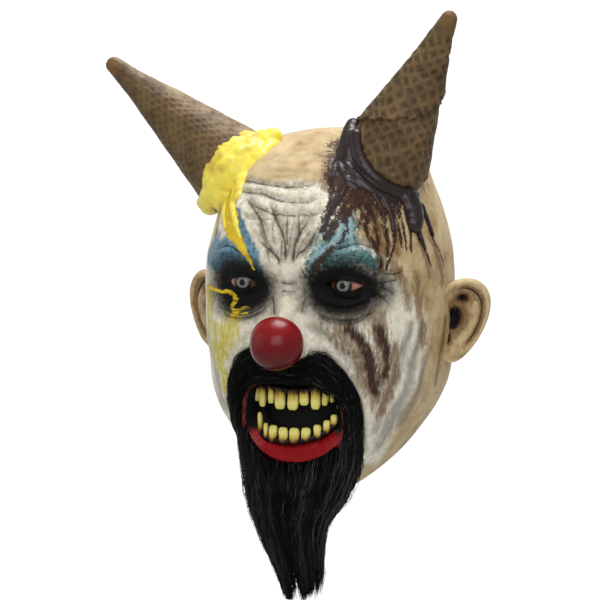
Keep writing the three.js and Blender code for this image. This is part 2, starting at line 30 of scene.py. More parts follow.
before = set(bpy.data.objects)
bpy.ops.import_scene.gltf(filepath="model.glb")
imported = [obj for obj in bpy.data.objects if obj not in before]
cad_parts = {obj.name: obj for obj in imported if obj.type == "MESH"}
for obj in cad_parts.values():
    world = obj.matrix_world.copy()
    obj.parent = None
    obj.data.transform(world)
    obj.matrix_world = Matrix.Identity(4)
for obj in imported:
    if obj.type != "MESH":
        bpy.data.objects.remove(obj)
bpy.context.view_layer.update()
mm = 0.001
draw = np.random.default_rng(41)

# Stage: camera at the photograph's angle, pale floor, soft light

stage = {
    "azimuth": 19.5, "elevation": 6.0, "distance": 2.6, "across": 0.48, "sensor": 36.0,
    "target": (-0.0116, -0.0594, -0.1329),
    "floorHeight": -1.1, "floorRadius": 2.0,
    "roomLight": 0.42, "backdropLight": 1.12, "backdropFrom": 48, "backdropTo": 20,
}
lampRows = [
    # name, place, aim, size, watts
    ("overheadSoftbox", (0.05, 0.30, 1.35), (0, -0.04, -0.10), 0.8, 24),
    ("frontSoftbox", (0.70, -1.70, 0.75), (0, 0, -0.14), 1.5, 21),
    ("sideFill", (-1.5, -0.9, 0.25), (0, 0, -0.15), 1.6, 5),
]


def linear(hexColour):
    channels = [int(hexColour[i:i + 2], 16) / 255 for i in (1, 3, 5)]
    return tuple(c / 12.92 if c <= 0.04045 else ((c + 0.055) / 1.055) ** 2.4 for c in channels) + (1.0,)


def put(tree, kind, inputs=None, stops=(), **settings):
    made = tree.nodes.new("ShaderNode" + kind)
    for key, value in settings.items():
        setattr(made, key, value)
    for key, value in (inputs or {}).items():
        if isinstance(value, bpy.types.NodeSocket):
            tree.links.new(value, made.inputs[key])
        else:
            made.inputs[key].default_value = value
    # a colour ramp starts with two stops
    for _ in stops[2:]:
        made.color_ramp.elements.new(0.5)
    for i, (at, colour) in enumerate(stops):
        made.color_ramp.elements[i].position = at
        made.color_ramp.elements[i].color = linear(colour)
    return made


def newMaterial(name, **constants):
    material = bpy.data.materials.new(name)
    material.use_nodes = True
    tree = material.node_tree
    shader = tree.nodes["Principled BSDF"]
    for key, value in constants.items():
        shader.inputs[key.replace("_", " ")].default_value = value
    return material, tree, shader


def meshFrom(bm, name):
    mesh = bpy.data.meshes.new(name)
    bm.to_mesh(mesh)
    bm.free()
    return mesh


def linkObject(name, data):
    made = bpy.data.objects.new(name, data)
    bpy.context.scene.collection.objects.link(made)
    return made


def buildStage():
    azimuth, elevation = math.radians(stage["azimuth"]), math.radians(stage["elevation"])
    back = Vector((math.sin(azimuth) * math.cos(elevation), -math.cos(azimuth) * math.cos(elevation),
                   math.sin(elevation)))
    data = bpy.data.cameras.new("camera")
    data.sensor_width = stage["sensor"]
    data.lens = stage["sensor"] * stage["distance"] / stage["across"]
    camera = linkObject("camera", data)
    camera.location = Vector(stage["target"]) + back * stage["distance"]
    camera.rotation_euler = back.to_track_quat("Z", "Y").to_euler()
    bpy.context.scene.camera = camera
    for name, place, aim, size, watts in lampRows:
        lamp = bpy.data.lights.new(name, "AREA")
        lamp.energy = watts
        lamp.size = size
        lampObject = linkObject(name, lamp)
        lampObject.location = place
        lampObject.rotation_euler = (Vector(place) - Vector(aim)).to_track_quat("Z", "Y").to_euler()
    world = bpy.data.worlds.new("studio")
    world.use_nodes = True
    sky = world.node_tree
    # a lit white backdrop far behind the mask, the rest of the room dimmer
    look = put(sky, "TexCoord").outputs["Generated"]
    facing = put(sky, "VectorMath", {0: look, 1: -back}, operation="DOT_PRODUCT")
    glow = put(sky, "MapRange", {
        "Value": facing.outputs["Value"], "From Min": math.cos(math.radians(stage["backdropFrom"])),
        "From Max": math.cos(math.radians(stage["backdropTo"])),
        "To Min": stage["roomLight"], "To Max": stage["backdropLight"]}, interpolation_type="SMOOTHSTEP")
    sky.nodes["Background"].inputs["Color"].default_value = (1, 1, 1, 1)
    sky.links.new(glow.outputs[0], sky.nodes["Background"].inputs["Strength"])
    bpy.context.scene.world = world
    bpy.context.scene.view_settings.view_transform = "Standard"
    bm = bmesh.new()
    bmesh.ops.create_circle(bm, cap_ends=True, segments=128, radius=stage["floorRadius"])
    bmesh.ops.translate(bm, verts=bm.verts, vec=(0, 0, stage["floorHeight"]))
    mesh = meshFrom(bm, "floor")
    floor = linkObject("floor", mesh)
    paper, tree, shader = newMaterial("seamless_paper", Roughness=0.9)
    grain = put(tree, "TexNoise", {"Scale": 400.0})
    tone = put(tree, "Mix", {0: grain.outputs["Fac"], 6: linear("#d8d7d4"), 7: linear("#dfdedb")},
               data_type="RGBA")
    tree.links.new(tone.outputs[2], shader.inputs["Base Color"])
    mesh.materials.append(paper)
    print("stage: camera, lamps and floor")


buildStage()

# Head form: the sections, swells and mouth of the solids, a little fuller at the crown and the nose wings

heart = np.array([0.0, -10.0, -135.0])
mouthCentre = np.array([0.0, -112.0, -214.0])
mouth = {"half": 41, "rise": 21, "drop": 28.5, "square": 2.9, "depth": 26, "slope": 0.08}
lip = {"roll": 5, "width": 0.032, "upperShare": 0.35}
rim = {"y": 20, "z": -243, "slope": 0.5}
eye = {"x": 41.7, "y": -97, "z": -115, "radius": 13.5, "lid": 1.6, "half": 15.5, "up": 4.8, "down": 4.5}

sectionRows = np.array([
    # z, half width, front, middle, back, power of the front curve
    (2.5, 0, 0, 0, 0, 2), (-8, 56, -60, -6, 60, 2), (-24, 72, -87, -10, 79, 2.05),
    (-42, 80, -102, -14, 88, 2.1), (-60, 87.5, -113, -16, 94, 2.25), (-90, 96, -122, -16, 98, 2.4),
    (-114, 98, -122, -14, 99, 2.4), (-140, 98, -120, -12, 98, 2.35), (-170, 97, -118, -10, 95, 2.3),
    (-199, 93, -117, -8, 90, 2.3), (-220, 84, -117, -10, 85, 2.3), (-237, 73, -117, -14, 78, 2.3),
    (-256, 59, -116, -22, 60, 2.2), (-272, 44, -112, -36, 30, 2), (-284, 28, -102, -50, 0, 2),
    (-292, 0, -70, -70, -70, 2),
], float)[::-1]
swellRows = [
    # x, z, across, tall, rise, mirrored about the middle
    (17, -103, 13, 8, 5), (46, -94, 20, 8, 6), (42, -117, 24, 13, -12), (44, -135, 20, 6, 3),
    (0, -112, 13, 10, -3), (0, -142, 11, 16, 9), (0, -160, 17, 13, 10), (19, -166, 7, 8, 9),
    (60, -158, 20, 22, 7), (54, -190, 8, 26, -3), (74, -205, 18, 22, 3), (82, -85, 14, 22, -3),
    (0, -266, 24, 14, 5),
]


def smoothTable(places, values, at):
    last = len(places) - 1
    i1 = np.clip(np.searchsorted(places, at, side="right"), 1, last)
    i0 = i1 - 1
    iPrev = np.where(i0 > 0, i0 - 1, i1)
    iNext = np.where(i1 < last, np.minimum(i1 + 1, last), i0)
    half = (places[i1] - places[i0]) / 2
    wPrev = half / (places[i0] - places[iPrev])
    wNext = half / (places[iNext] - places[i1])
    p = np.clip((at - places[i0]) / (2 * half), 0, 1)
    weights = [
        -wPrev * p ** 3 + 2 * wPrev * p ** 2 - wPrev * p,
        (1 + wPrev) * p ** 3 + (-1.5 - 2 * wPrev) * p ** 2 + (-0.5 + wPrev) * p + 1,
        (-1 - wNext) * p ** 3 + (1.5 + wNext) * p ** 2 + 0.5 * p,
        wNext * p ** 3 - wNext * p ** 2,
    ]
    return sum(w[:, None] * values[i] for w, i in zip(weights, (iPrev, i0, i1, iNext)))


axisRows = np.stack([
    sectionRows[:, 1] ** 2, (sectionRows[:, 3] - sectionRows[:, 2]) ** 2,
    (sectionRows[:, 4] - sectionRows[:, 3]) ** 2, sectionRows[:, 3], sectionRows[:, 5],
], 1)


def sectionAt(z):
    return smoothTable(sectionRows[:, 0], axisRows, np.clip(z, sectionRows[0, 0], sectionRows[-1, 0]))


def isInsideHead(points):
    wide, ahead, behind, middle, boxy = sectionAt(points[:, 2]).T
    inFront = points[:, 1] < middle
    power = np.where(inFront, boxy, 2)
    depth = np.sqrt(np.maximum(np.where(inFront, ahead, behind), 0.01))
    half = np.sqrt(np.maximum(wide, 0.01))
    size = (np.abs(points[:, 0]) / half) ** power + (np.abs(points[:, 1] - middle) / depth) ** power
    return (size < 1) & (points[:, 2] < sectionRows[-1, 0]) & (points[:, 2] > sectionRows[0, 0])


def reachInside(starts, directions, farthest=260.0):
    near = np.zeros(len(directions))
    far = np.full(len(directions), farthest)
    for _ in range(22):
        half = (near + far) / 2
        kept = isInsideHead(starts + directions * half[:, None])
        near, far = np.where(kept, half, near), np.where(kept, far, half)
    return near


def onHead(turns, heights):
    turns = np.radians(np.asarray(turns, float))
    heights = np.asarray(heights, float)
    starts = np.stack([0 * heights, 0 * heights + heart[1], heights], 1)
    directions = np.stack([np.sin(turns), -np.cos(turns), 0 * turns], 1)
    return starts + directions * reachInside(starts, directions)[:, None]


def bell(distance, width):
    return np.exp(-(distance / width) ** 2)


def smoothstep(value, low, high):
    share = np.clip((value - low) / (high - low), 0, 1)
    return share * share * (3 - 2 * share)


def smoothPath(points, count):
    points = np.asarray(points, float)
    spans = np.linalg.norm(np.diff(points, axis=0), axis=1)
    places = np.concatenate([[0], np.cumsum(spans)])
    return smoothTable(places, points, np.linspace(0, places[-1], count))


def distanceToPath(points, path):
    best = np.full(len(points), 1e9)
    share = np.zeros(len(points))
    total = len(path) - 1
    for i in range(total):
        along = path[i + 1] - path[i]
        span = max(along @ along, 1e-9)
        kept = np.clip((points - path[i]) @ along / span, 0, 1)
        distance = np.linalg.norm(points - path[i] - kept[:, None] * along, axis=1)
        closer = distance < best
        best = np.where(closer, distance, best)
        share = np.where(closer, (i + kept) / total, share)
    return best, share


# Creases: places on the head as (turn from the nose, height)

creaseRows = [
    # width, depth, darkness of the fold line and wash (ink and painted shade), places
    (2.0, 0.8, 0.9,
     [(-50, -38), (-30, -36.8), (-17, -38.2), (-6.5, -39), (1.5, -38.5), (9, -37), (20, -33)]),
    (2.2, 1.1, 0.9,
     [(-44, -43), (-25, -45), (-18, -44.8), (-11, -48), (-4, -50.1), (3.3, -50.6), (10, -48.6), (20, -43)]),
    (2.0, 0.7, 0.9,
     [(-27, -50), (-15, -56.8), (-8, -59.5), (-1, -60.6), (5.5, -60), (12, -58.3), (20, -53)]),
    (3.0, 2.3, 0.9,
     [(-1.2, -102), (-1, -89), (-1.7, -80), (-4.3, -70.5), (-8, -61), (-11, -53), (-14, -48)]),
    (2.6, 1.5, 0.9, [(-3.8, -102), (-3.5, -95), (-6.5, -89), (-10, -84.5), (-14, -78)]),
    (3.2, 1.7, 0.9, [(-30, -47), (-23, -53), (-17.5, -59.5), (-13.2, -68), (-11.2, -77), (-9.7, -86)]),
    (3.0, 2.3, 0.9, [(2, -102), (2.5, -89), (3, -80), (4.8, -71.5), (7.5, -64.6), (11, -55)]),
    (2.6, 1.3, 0.9, [(2.5, -97), (4.2, -91), (7, -86), (10, -78), (12, -68)]),
    (2.0, 0.9, 0.9, [(-0.2, -86), (-1, -72), (-1.8, -58)]),
    (2.0, 0.8, 0.9, [(3.5, -84), (4, -72), (3, -53)]),
    (3.0, 1.6, 0.9, [(18.5, -90), (23, -84.5), (28.5, -81.5), (34, -84.5), (40, -91)]),
    (3.0, 1.4, 0.9, [(-18, -94), (-24, -88), (-30, -87), (-37, -92)]),
    (2.2, 1.5, 0.9, [(13, -124), (16.7, -127), (22, -129.5), (28.5, -127.5), (33.5, -122)]),
    (2.4, 1.6, 0.9, [(12, -129), (16, -133), (22, -135.5), (30, -133), (36, -126)]),
    (2.6, 1.2, 0.9, [(12, -135), (18, -140.5), (25, -141), (33, -137), (39, -130)]),
    (2.2, 1.5, 0.9, [(-34, -126), (-28, -129.5), (-22, -130), (-14, -125)]),
    (2.4, 1.4, 0.9, [(-37, -134), (-30, -137), (-23, -137), (-12, -130)]),
    (2.0, 1.0, 0.9, [(34, -114), (40, -117), (46.5, -125)]),
    (2.0, 1.0, 0.9, [(34, -112), (41, -112), (48, -110)]),
    (2.0, 1.0, 0.9, [(34, -118), (39.5, -124.7), (43, -133)]),
    (2.0, 0.8, 0.9, [(38, -105), (45, -106), (50, -103)]),
    (2.4, 1.4, 0.9, [(-7.5, -122), (-6, -130), (-5, -141)]),
    (2.4, 1.0, 0.9, [(7.5, -122), (6.5, -130), (6, -139)]),
    (1.8, 0.9, 0.9, [(-4, -112), (0.2, -113.5), (4.5, -111.5)]),
    (1.8, 0.7, 0.9, [(-3.5, -118.5), (0.2, -119.8), (4, -118.3)]),
    (1.8, 0.6, 0.9, [(3, -13.5), (12.5, -15), (23, -13.5)]),
    (3.0, 1.6, 0.35, [(9, -146), (15, -154), (21, -163), (27, -176)]),
    (3.0, 1.4, 0.3, [(-12, -150), (-20, -160), (-27, -172)]),
    (5.0, 1.8, 0.12, [(55, -146), (50, -171), (44, -202), (39, -228)]),
    (5.5, 2.0, 0.12, [(63, -150), (57, -178), (49.5, -214), (44, -234)]),
    (4.5, 1.3, 0.12, [(46, -156), (41.5, -183), (38.5, -205)]),
    (5.0, 1.6, 0.12, [(60, -195), (54, -218), (47, -245)]),
    (5.0, 1.6, 0.12, [(-50, -150), (-46, -178), (-42, -205), (-38, -230)]),
    (5.5, 1.8, 0.12, [(-60, -155), (-55, -185), (-49, -215)]),
]

# Paint: strokes on the head by colour, each with a width at its start and end

strokeRows = {
    # width at the start, width at the end, places
    "blue": [
        (4, 6, [(-29, -60), (-19, -80), (-12, -102)]),
        (12, 9, [(-44, -86), (-34, -91), (-25, -95), (-15, -103)]),
        (9, 7, [(-48, -96), (-36, -101), (-26, -103)]),
    ],
    "teal": [
        (8, 4, [(11, -99), (14.3, -84), (19, -68)]),
        (12, 6, [(22, -99), (25, -83), (27, -64)]),
        (9, 5, [(16, -96), (21, -80), (25, -62)]),
        (8, 4, [(30, -94), (34, -96), (38, -101)]),
    ],
    "pale": [
        # pale blue-white strokes over the blue-green: partly pale paint, partly painted highlights on the wet
        # paint
        (1.8, 2.0, [(20.5, -50), (17, -62), (13.5, -75)]),
        (2.4, 3.4, [(26, -68), (20, -80), (13.5, -92)]),
        (3.2, 2.6, [(26.5, -60), (26, -72), (26, -84)]),
        (2.6, 2.0, [(23, -60), (21.5, -70), (18, -78)]),
        (3, 2, [(12, -86), (10.5, -96)]),
    ],
    "yellow": [
        (9.5, 6.4, [(-45, -48), (-39, -56), (-31, -67), (-26, -77.5)]),
        (6.4, 1.4, [(-26, -77.5), (-20.8, -87), (-17, -95), (-14, -104)]),
        (4.5, 3.0, [(-40, -60), (-33, -73), (-27, -81)]),
        (5.0, 1.5, [(-55, -58), (-50, -70), (-46, -84)]),
        (2.0, 1.6, [(-58, -128), (-46, -122.5), (-38, -121.5), (-31, -122), (-27, -127.6), (-24, -138)]),
        (1.8, 0.8, [(-24, -138.5), (-18, -135)]),
        (1.6, 0.8, [(-25, -141.5), (-18.5, -139.5)]),
        (1.4, 0.8, [(-25, -145), (-20, -144)]),
    ],
    "lemon": [
        (9, 8, [(-46, -128), (-44, -148), (-42, -172)]),
        (8, 9, [(-24, -142), (-27, -154), (-33, -168)]),
        (7, 3, [(-35, -150), (-36, -172), (-36, -202)]),
    ],
    "chocolate": [
        (10, 5, [(27, -8), (22, -20), (20, -34)]),
        (6, 1.6, [(24, -10), (19.5, -20), (18, -30), (17.5, -40), (17, -52)]),
        (9, 7, [(28, -20), (34, -34), (46, -43), (60, -49)]),
        (4.5, 3.0, [(27, -34), (22, -46), (18, -58), (14.5, -72)]),
        (6.0, 3.4, [(22, -32), (20, -44), (17.5, -56), (15.5, -68)]),
        (5.0, 3.2, [(31, -42), (28, -52), (24, -62)]),
        (3.4, 2.0, [(36, -46), (34.5, -56), (33, -68)]),
        (3.0, 2.6, [(28, -42), (23, -56), (19, -68), (15, -78)]),
        (1.2, 3.6, [(24, -72), (19.5, -83), (15, -94), (12.5, -101)]),
        (3.2, 1.0, [(38.7, -36), (43.5, -46), (45.8, -58.7), (45.8, -74), (43.7, -89), (41.5, -103)]),
        (2.2, 1.0, [(34, -36), (39, -45), (41.8, -57), (42, -70.6), (40.6, -86)]),
        (1.8, 0.9, [(30.7, -35.6), (35, -44.6), (37.4, -55), (38, -67)]),
        (2.4, 1.0, [(44, -39), (49.5, -48.4), (52, -61), (51.4, -74.5)]),
        (3.4, 0.9, [(62, -62), (62, -74), (63, -86), (66.7, -100), (69, -112)]),
        (3.2, 0.8, [(70, -56), (72, -64), (75.4, -84), (80, -99), (82, -114)]),
    ],
    "streak": [
        (5.4, 4.4, [(24.5, -147), (28.4, -155), (31.4, -163), (33.7, -173.5), (35.6, -185), (36.7, -197)]),
        (3.2, 2.0, [(30.4, -166), (33, -178), (35.4, -190), (36.4, -201)]),
        (4.4, 3.2, [(37.6, -148), (38.7, -158), (40.3, -166), (41.5, -175), (40.7, -186)]),
        (3.4, 1.6, [(57, -50), (56, -70), (54, -88)]),
        (3.4, 2.2, [(32, -50), (36, -62), (37.5, -76), (36, -88)]),
        (3.2, 2.0, [(29, -46), (31, -58), (30.5, -68)]),
        (2.6, 2.6, [(31, -66), (34.5, -76), (37, -88), (38.5, -98)]),
        (2.6, 2.0, [(40, -60), (41.5, -76), (41.5, -92)]),
    ],
    "stainAndShade": [
        (10, 5, [(33, -44), (36, -62), (38.5, -80), (40, -98)]),
        (8, 4, [(42, -48), (46, -66), (46, -90)]),
        (5, 4, [(44, -98), (49, -112), (52, -132)]),
        (5, 4, [(57, -112), (59, -140), (62, -166)]),
        (7, 5, [(24, -42), (27.5, -49), (26, -58)]),
        (5, 3, [(60, -60), (62, -85), (66, -112)]),
        (4, 3, [(72, -80), (76, -100), (80, -118)]),
        (9, 7, [(22, -150), (30, -168), (36, -204)]),
        (5, 3, [(-54, -54), (-48, -65), (-43, -76)]),
        (6, 5, [(46, -168), (44, -190), (41, -214)]),
        (8, 6, [(37, -142), (38, -156), (42, -190)]),
        (1.2, 3, [(6, -14), (14, -16), (22, -17)]),
        (4, 4, [(13, -18), (15.5, -28), (15, -40)]),
        (5, 3, [(84, -150), (80, -176), (78, -200)]),
    ],
    "grey": [
        # painted shade along the nose-to-mouth and jaw folds, laid as soft grey strokes
        (4.0, 5, [(11, -146), (18, -157), (25, -168), (30, -182)]),
        (3.5, 5, [(53, -147), (49.5, -171), (43.5, -203), (38.8, -228)]),
        (4.5, 6, [(61, -151), (56.5, -178), (49, -214), (44, -236)]),
        (3.5, 4, [(44, -162), (41, -183), (38.5, -205)]),
        (5, 6, [(52, -203), (48, -228), (44.5, -246)]),
        (4, 5, [(66, -175), (62, -200), (54, -228)]),
        (5, 6, [(-48, -160), (-44, -185), (-40, -215)]),
    ],
}


wrinkleKinds = {
    # how many, then the ranges of width, depth and darkness of the fold's ink and painted shade
    "frown": (22, (1.1, 2.0), (0.3, 0.9), (0.3, 0.8)),
    "forehead": (16, (1.1, 1.9), (0.25, 0.7), (0.2, 0.6)),
    "eyeCorner": (10, (1.0, 1.7), (0.3, 0.7), (0.2, 0.5)),
    "underEye": (8, (1.2, 2.0), (0.4, 1.0), (0.5, 1.0)),
    "overEye": (5, (1.2, 1.9), (0.3, 0.8), (0.4, 0.8)),
    "cheek": (7, (1.6, 2.8), (0.3, 0.8), (0.15, 0.45)),
    "jaw": (7, (2.5, 5.0), (0.5, 1.3), (0.05, 0.2)),
    "scalp": (10, (1.4, 2.4), (0.15, 0.4), (0.1, 0.3)),
}


def fineWrinkles():
    fold = np.random.default_rng(7)
    rows = []

    def add(kind, places):
        width, deep, inkAndShade = (fold.uniform(*span) for span in wrinkleKinds[kind][1:])
        rows.append((width, deep, inkAndShade, places))

    for _ in range(wrinkleKinds["frown"][0]):
        foot, top = fold.uniform(-8, 8), fold.uniform(-76, -50)
        bow = fold.uniform(-2.5, 2.5)
        add("frown", [(foot, fold.uniform(-104, -88)), (foot * 1.5 + bow, -82), (foot * 2.3 + 2 * bow, top)])
    for _ in range(wrinkleKinds["forehead"][0]):
        middle, half = fold.uniform(-34, 14), fold.uniform(5, 14)
        z = fold.uniform(-68, -35)
        start = (middle - half, z + fold.uniform(0, 4))
        add("forehead", [start, (middle, z), (middle + half, z + fold.uniform(0, 4))])
    for side in (-1, 1):
        for _ in range(wrinkleKinds["eyeCorner"][0]):
            lean, long = fold.uniform(-1.1, 0.9), fold.uniform(8, 20)
            turn, z = 34 + fold.uniform(-1, 3), -114 + 7 * lean
            bend = fold.uniform(-3, 3)
            across, along = long * math.cos(lean), long * math.sin(lean)
            add("eyeCorner", [(turn * side, z), ((turn + 0.27 * across) * side, z + 0.5 * along + bend),
                              ((turn + 0.52 * across) * side, z + along)])
        for i in range(wrinkleKinds["underEye"][0]):
            drop = 12.5 + 2.3 * i + fold.uniform(-0.8, 0.8)
            span = 11 + 0.7 * i
            first, last = 200 + fold.uniform(-8, 25), 340 - fold.uniform(-8, 25)
            angles = np.radians(np.linspace(first, last, 6))
            add("underEye", [((22.5 + span * math.cos(a)) * side, -116 + drop * math.sin(a)) for a in angles])
        for i in range(wrinkleKinds["overEye"][0]):
            rise = 11 + 2.4 * i + fold.uniform(-0.8, 0.8)
            span = 12 + 1.2 * i
            first, last = 20 + fold.uniform(0, 30), 160 - fold.uniform(0, 25)
            angles = np.radians(np.linspace(first, last, 6))
            add("overEye", [((23 + span * math.cos(a)) * side, -112 + rise * math.sin(a)) for a in angles])
        for _ in range(wrinkleKinds["cheek"][0]):
            turn, z = fold.uniform(24, 40), fold.uniform(-176, -150)
            end = ((turn + fold.uniform(3, 8)) * side, z - fold.uniform(24, 40))
            add("cheek", [(turn * side, z), ((turn + 3) * side, z - 16), end])
        for _ in range(wrinkleKinds["jaw"][0]):
            turn, z = fold.uniform(46, 70), fold.uniform(-180, -150)
            end = ((turn - fold.uniform(11, 17)) * side, z - fold.uniform(46, 70))
            add("jaw", [(turn * side, z), ((turn - 5) * side, z - 28), end])
    for _ in range(wrinkleKinds["scalp"][0]):
        middle, z = fold.uniform(-30, 30), fold.uniform(-30, -10)
        add("scalp", [(middle - 14, z), (middle, z - 1), (middle + 14, z)])
    return rows


def thinRuns():
    # thin chocolate runs below the left cone
    fall = np.random.default_rng(19)
    rows = []
    for _ in range(26):
        turn = fall.uniform(21, 52)
        z = -30 - 0.45 * (turn - 21) - fall.uniform(0, 14)
        bend = fall.uniform(1.5, 5.5)
        drop = fall.uniform(14, 38)
        rows.append((fall.uniform(1.2, 2.6), fall.uniform(0.5, 1.1),
                     [(turn, z), (turn + bend, z - 0.35 * drop), (turn + 1.1 * bend, z - drop)]))
    return rows


turnScale = 1.9  # millimetres along the skin to a degree of turn


def pathOnHead(places, count=24):
    smooth = smoothPath(np.array(places, float) * (turnScale, 1), count)
    return onHead(smooth[:, 0] / turnScale, smooth[:, 1])


strokeRows["chocolate"] += thinRuns()
creasePaths = [(pathOnHead(places), width, deep, inkAndShade)
               for width, deep, inkAndShade, places in creaseRows + fineWrinkles()]


def waver(points):
    # an unsteady brush: strokes wander by a millimetre or so
    x, y, z = points.T
    return points + 1.3 * np.stack([
        np.sin(z / 6.1 + 1.3 * np.sin(x / 7.3)), np.sin(x / 6.7 + z / 9.1 + 1.7),
        np.sin(x / 5.3 + y / 8.7 + 0.6) + 0.6 * np.sin(z / 3.1 + x / 4.3)], 1)


def isNear(points, path, reach):
    return np.all((points > path.min(0) - reach) & (points < path.max(0) + reach), axis=1)


def strokeField(points, rows):
    points = waver(points)
    field = np.full(len(points), -1.0)
    for first, last, places in rows:
        path = pathOnHead(places)
        near = isNear(points, path, 2.2 * max(first, last))
        distance, share = distanceToPath(points[near], path)
        width = first + (last - first) * share
        field[near] = np.maximum(field[near], np.clip(1 - distance / width, -1, 1))
    return field


def creaseRelief(points):
    deep = np.zeros(len(points))
    line = np.zeros(len(points))
    foldWashAndShade = np.zeros(len(points))
    for path, width, depth, inkAndShade in creasePaths:
        near = isNear(points, path, max(3 * width, 7))
        distance, share = distanceToPath(points[near], path)
        ends = smoothstep(share, 0, 0.2) * smoothstep(1 - share, 0, 0.25)
        # a fold has a sharp floor and a soft swollen shoulder
        fold = bell(distance, width) - 0.22 * bell(distance - 2 * width, width)
        deep[near] += depth * fold * (0.2 + 0.8 * ends)
        # each fold is darkened with a thin dark line on its floor: partly ink, partly painted shade in the
        # fold
        line[near] = np.maximum(line[near], inkAndShade * np.clip(1 - distance / (0.7 * width), 0, 1) * ends)
        # a wider wash round each fold: partly grime, partly painted shade in the fold
        foldWashAndShade[near] = np.maximum(foldWashAndShade[near], inkAndShade * bell(distance, 2.2 * width) * ends)
    return deep, line, foldWashAndShade


mouthAxis = (mouthCentre - heart) / np.linalg.norm(mouthCentre - heart)
mouthReach = np.linalg.norm(mouthCentre - heart)
mouthDown = np.cross([1, 0, 0], mouthAxis)


def mouthAngles(directions):
    away = np.arccos(np.clip(directions @ mouthAxis, -1, 1))
    around = np.arctan2(directions @ mouthDown, -directions[:, 0])
    return around, away


def lipAngle(around):
    tall = np.where(np.sin(around) > 0, mouth["drop"], mouth["rise"])
    power = mouth["square"]
    size = (np.abs(np.cos(around)) / mouth["half"]) ** power + (np.abs(np.sin(around)) / tall) ** power
    return np.arctan(size ** (-1 / power) / mouthReach)


def faceRise(directions, plain, fine):
    at = heart + directions * plain[:, None]
    around, away = mouthAngles(directions)
    edge = lipAngle(around)
    rise = np.zeros(len(plain))
    for x, z, across, tall, up in swellRows:
        rise += up * bell(np.abs(at[:, 0]) - x, across) * bell(at[:, 2] - z, tall)
    if fine:
        rise -= creaseRelief(at)[0]
    rise *= smoothstep(-at[:, 1], -10, 40)
    lower = smoothstep(np.sin(around), -0.3, 0.5)
    fullness = lip["upperShare"] + (1 - lip["upperShare"]) * lower
    lips = lip["roll"] * fullness * bell(away - edge - lip["width"], lip["width"])
    sunk = mouth["depth"] * smoothstep(1 - away / edge, 0, mouth["slope"])
    atEdge = lip["roll"] * fullness * bell(lip["width"], lip["width"])
    return rise + np.where(away < edge, atEdge - sunk, lips)


def lidReach(directions, radius):
    best = np.zeros(len(directions))
    for side in (-1, 1):
        offset = np.array([eye["x"] * side, eye["y"], eye["z"]]) - heart
        along = directions @ offset
        miss = offset @ offset - along ** 2
        hit = miss < radius ** 2
        best = np.maximum(best, np.where(hit, along + np.sqrt(np.maximum(radius ** 2 - miss, 0)), 0))
    return best


def skinReach(directions, fine=True):
    plain = reachInside(heart[None, :] + 0 * directions, directions)
    reach = plain + faceRise(directions, plain, fine)
    lids = lidReach(directions, eye["radius"] + eye["lid"])
    return np.where(lids > reach, lids, reach)


def slitShare(points):
    across = (np.abs(points[:, 0]) - eye["x"]) / eye["half"]
    bow = np.maximum(1 - across ** 2, 1e-3)
    up = points[:, 2] - eye["z"]
    share = np.where(up > 0, up / eye["up"], -up / eye["down"]) / bow
    return np.where((np.abs(across) < 0.985) & (points[:, 1] < -60), share, 9.0)


# Mask skin: fine outside, plain inside, joined along the eye slits and the neck rim

skin = {"columns": 250, "rings": 140, "frontCrowd": 0.55, "sideCrowd": 0.35, "insideColumns": 84,
        "insideRings": 50, "wall": 2.6, "wallTilt": 0.045}


def headDirections(columns, rings, refine):
    bm = bmesh.new()
    bmesh.ops.create_uvsphere(bm, u_segments=columns, v_segments=rings, radius=1)
    for v in bm.verts:
        turn = math.atan2(v.co.y, v.co.x)
        side = math.asin(max(-1, min(1, v.co.z)))
        turn -= skin["frontCrowd"] * math.sin(turn)
        side -= skin["sideCrowd"] * math.sin(2 * side) / 2
        v.co = (math.sin(side), -math.cos(side) * math.cos(turn), math.cos(side) * math.sin(turn))
    if refine:
        onFace = lambda co: abs(co.x) < 0.82 and co.y < -0.3 and -0.92 < co.z < 0.86
        edges = [e for e in bm.edges if all(onFace(v.co) for v in e.verts)]
        bmesh.ops.subdivide_edges(bm, edges=edges, cuts=1, use_grid_fill=True)
    for v in bm.verts:
        v.co.normalize()
    bm.verts.ensure_lookup_table()
    return bm, np.array([v.co for v in bm.verts])


def cutOpenings(bm):
    centres = np.array([f.calc_center_median() for f in bm.faces]) / mm
    slit = slitShare(centres) < 1
    bm.faces.ensure_lookup_table()
    bmesh.ops.delete(bm, geom=[bm.faces[i] for i in np.where(slit)[0]], context="FACES")
    normal = Vector((0, -rim["slope"], 1)).normalized()
    bmesh.ops.bisect_plane(bm, geom=bm.verts[:] + bm.edges[:] + bm.faces[:], dist=1e-6,
                           plane_co=Vector((0, rim["y"], rim["z"])) * mm, plane_no=normal, clear_inner=True)


def snapToSlit(bm):
    for v in bm.verts:
        if not v.is_boundary or v.co.y > -0.06 or v.co.z < -0.2:
            continue
        across = (abs(v.co.x) / mm - eye["x"]) / eye["half"]
        bow = max(1 - across ** 2, 0.0)
        up = v.co.z / mm - eye["z"]
        v.co.z = mm * (eye["z"] + (eye["up"] if up > 0 else -eye["down"]) * bow)


def boundaryLoops(bm):
    edges = {e for e in bm.edges if e.is_boundary}
    loops = []
    while edges:
        loop = [edges.pop()]
        grown = True
        ends = set(loop[0].verts)
        while grown:
            grown = False
            for v in list(ends):
                for e in v.link_edges:
                    if e in edges:
                        edges.discard(e)
                        loop.append(e)
                        ends.update(e.verts)
                        grown = True
                ends.discard(v)
        loops.append(loop)
    return loops


def loopPlace(loop):
    centre = sum((v.co for e in loop for v in e.verts), Vector()) / (2 * len(loop))
    return (centre.y < -0.06) * (2 if centre.x > 0 else 1)


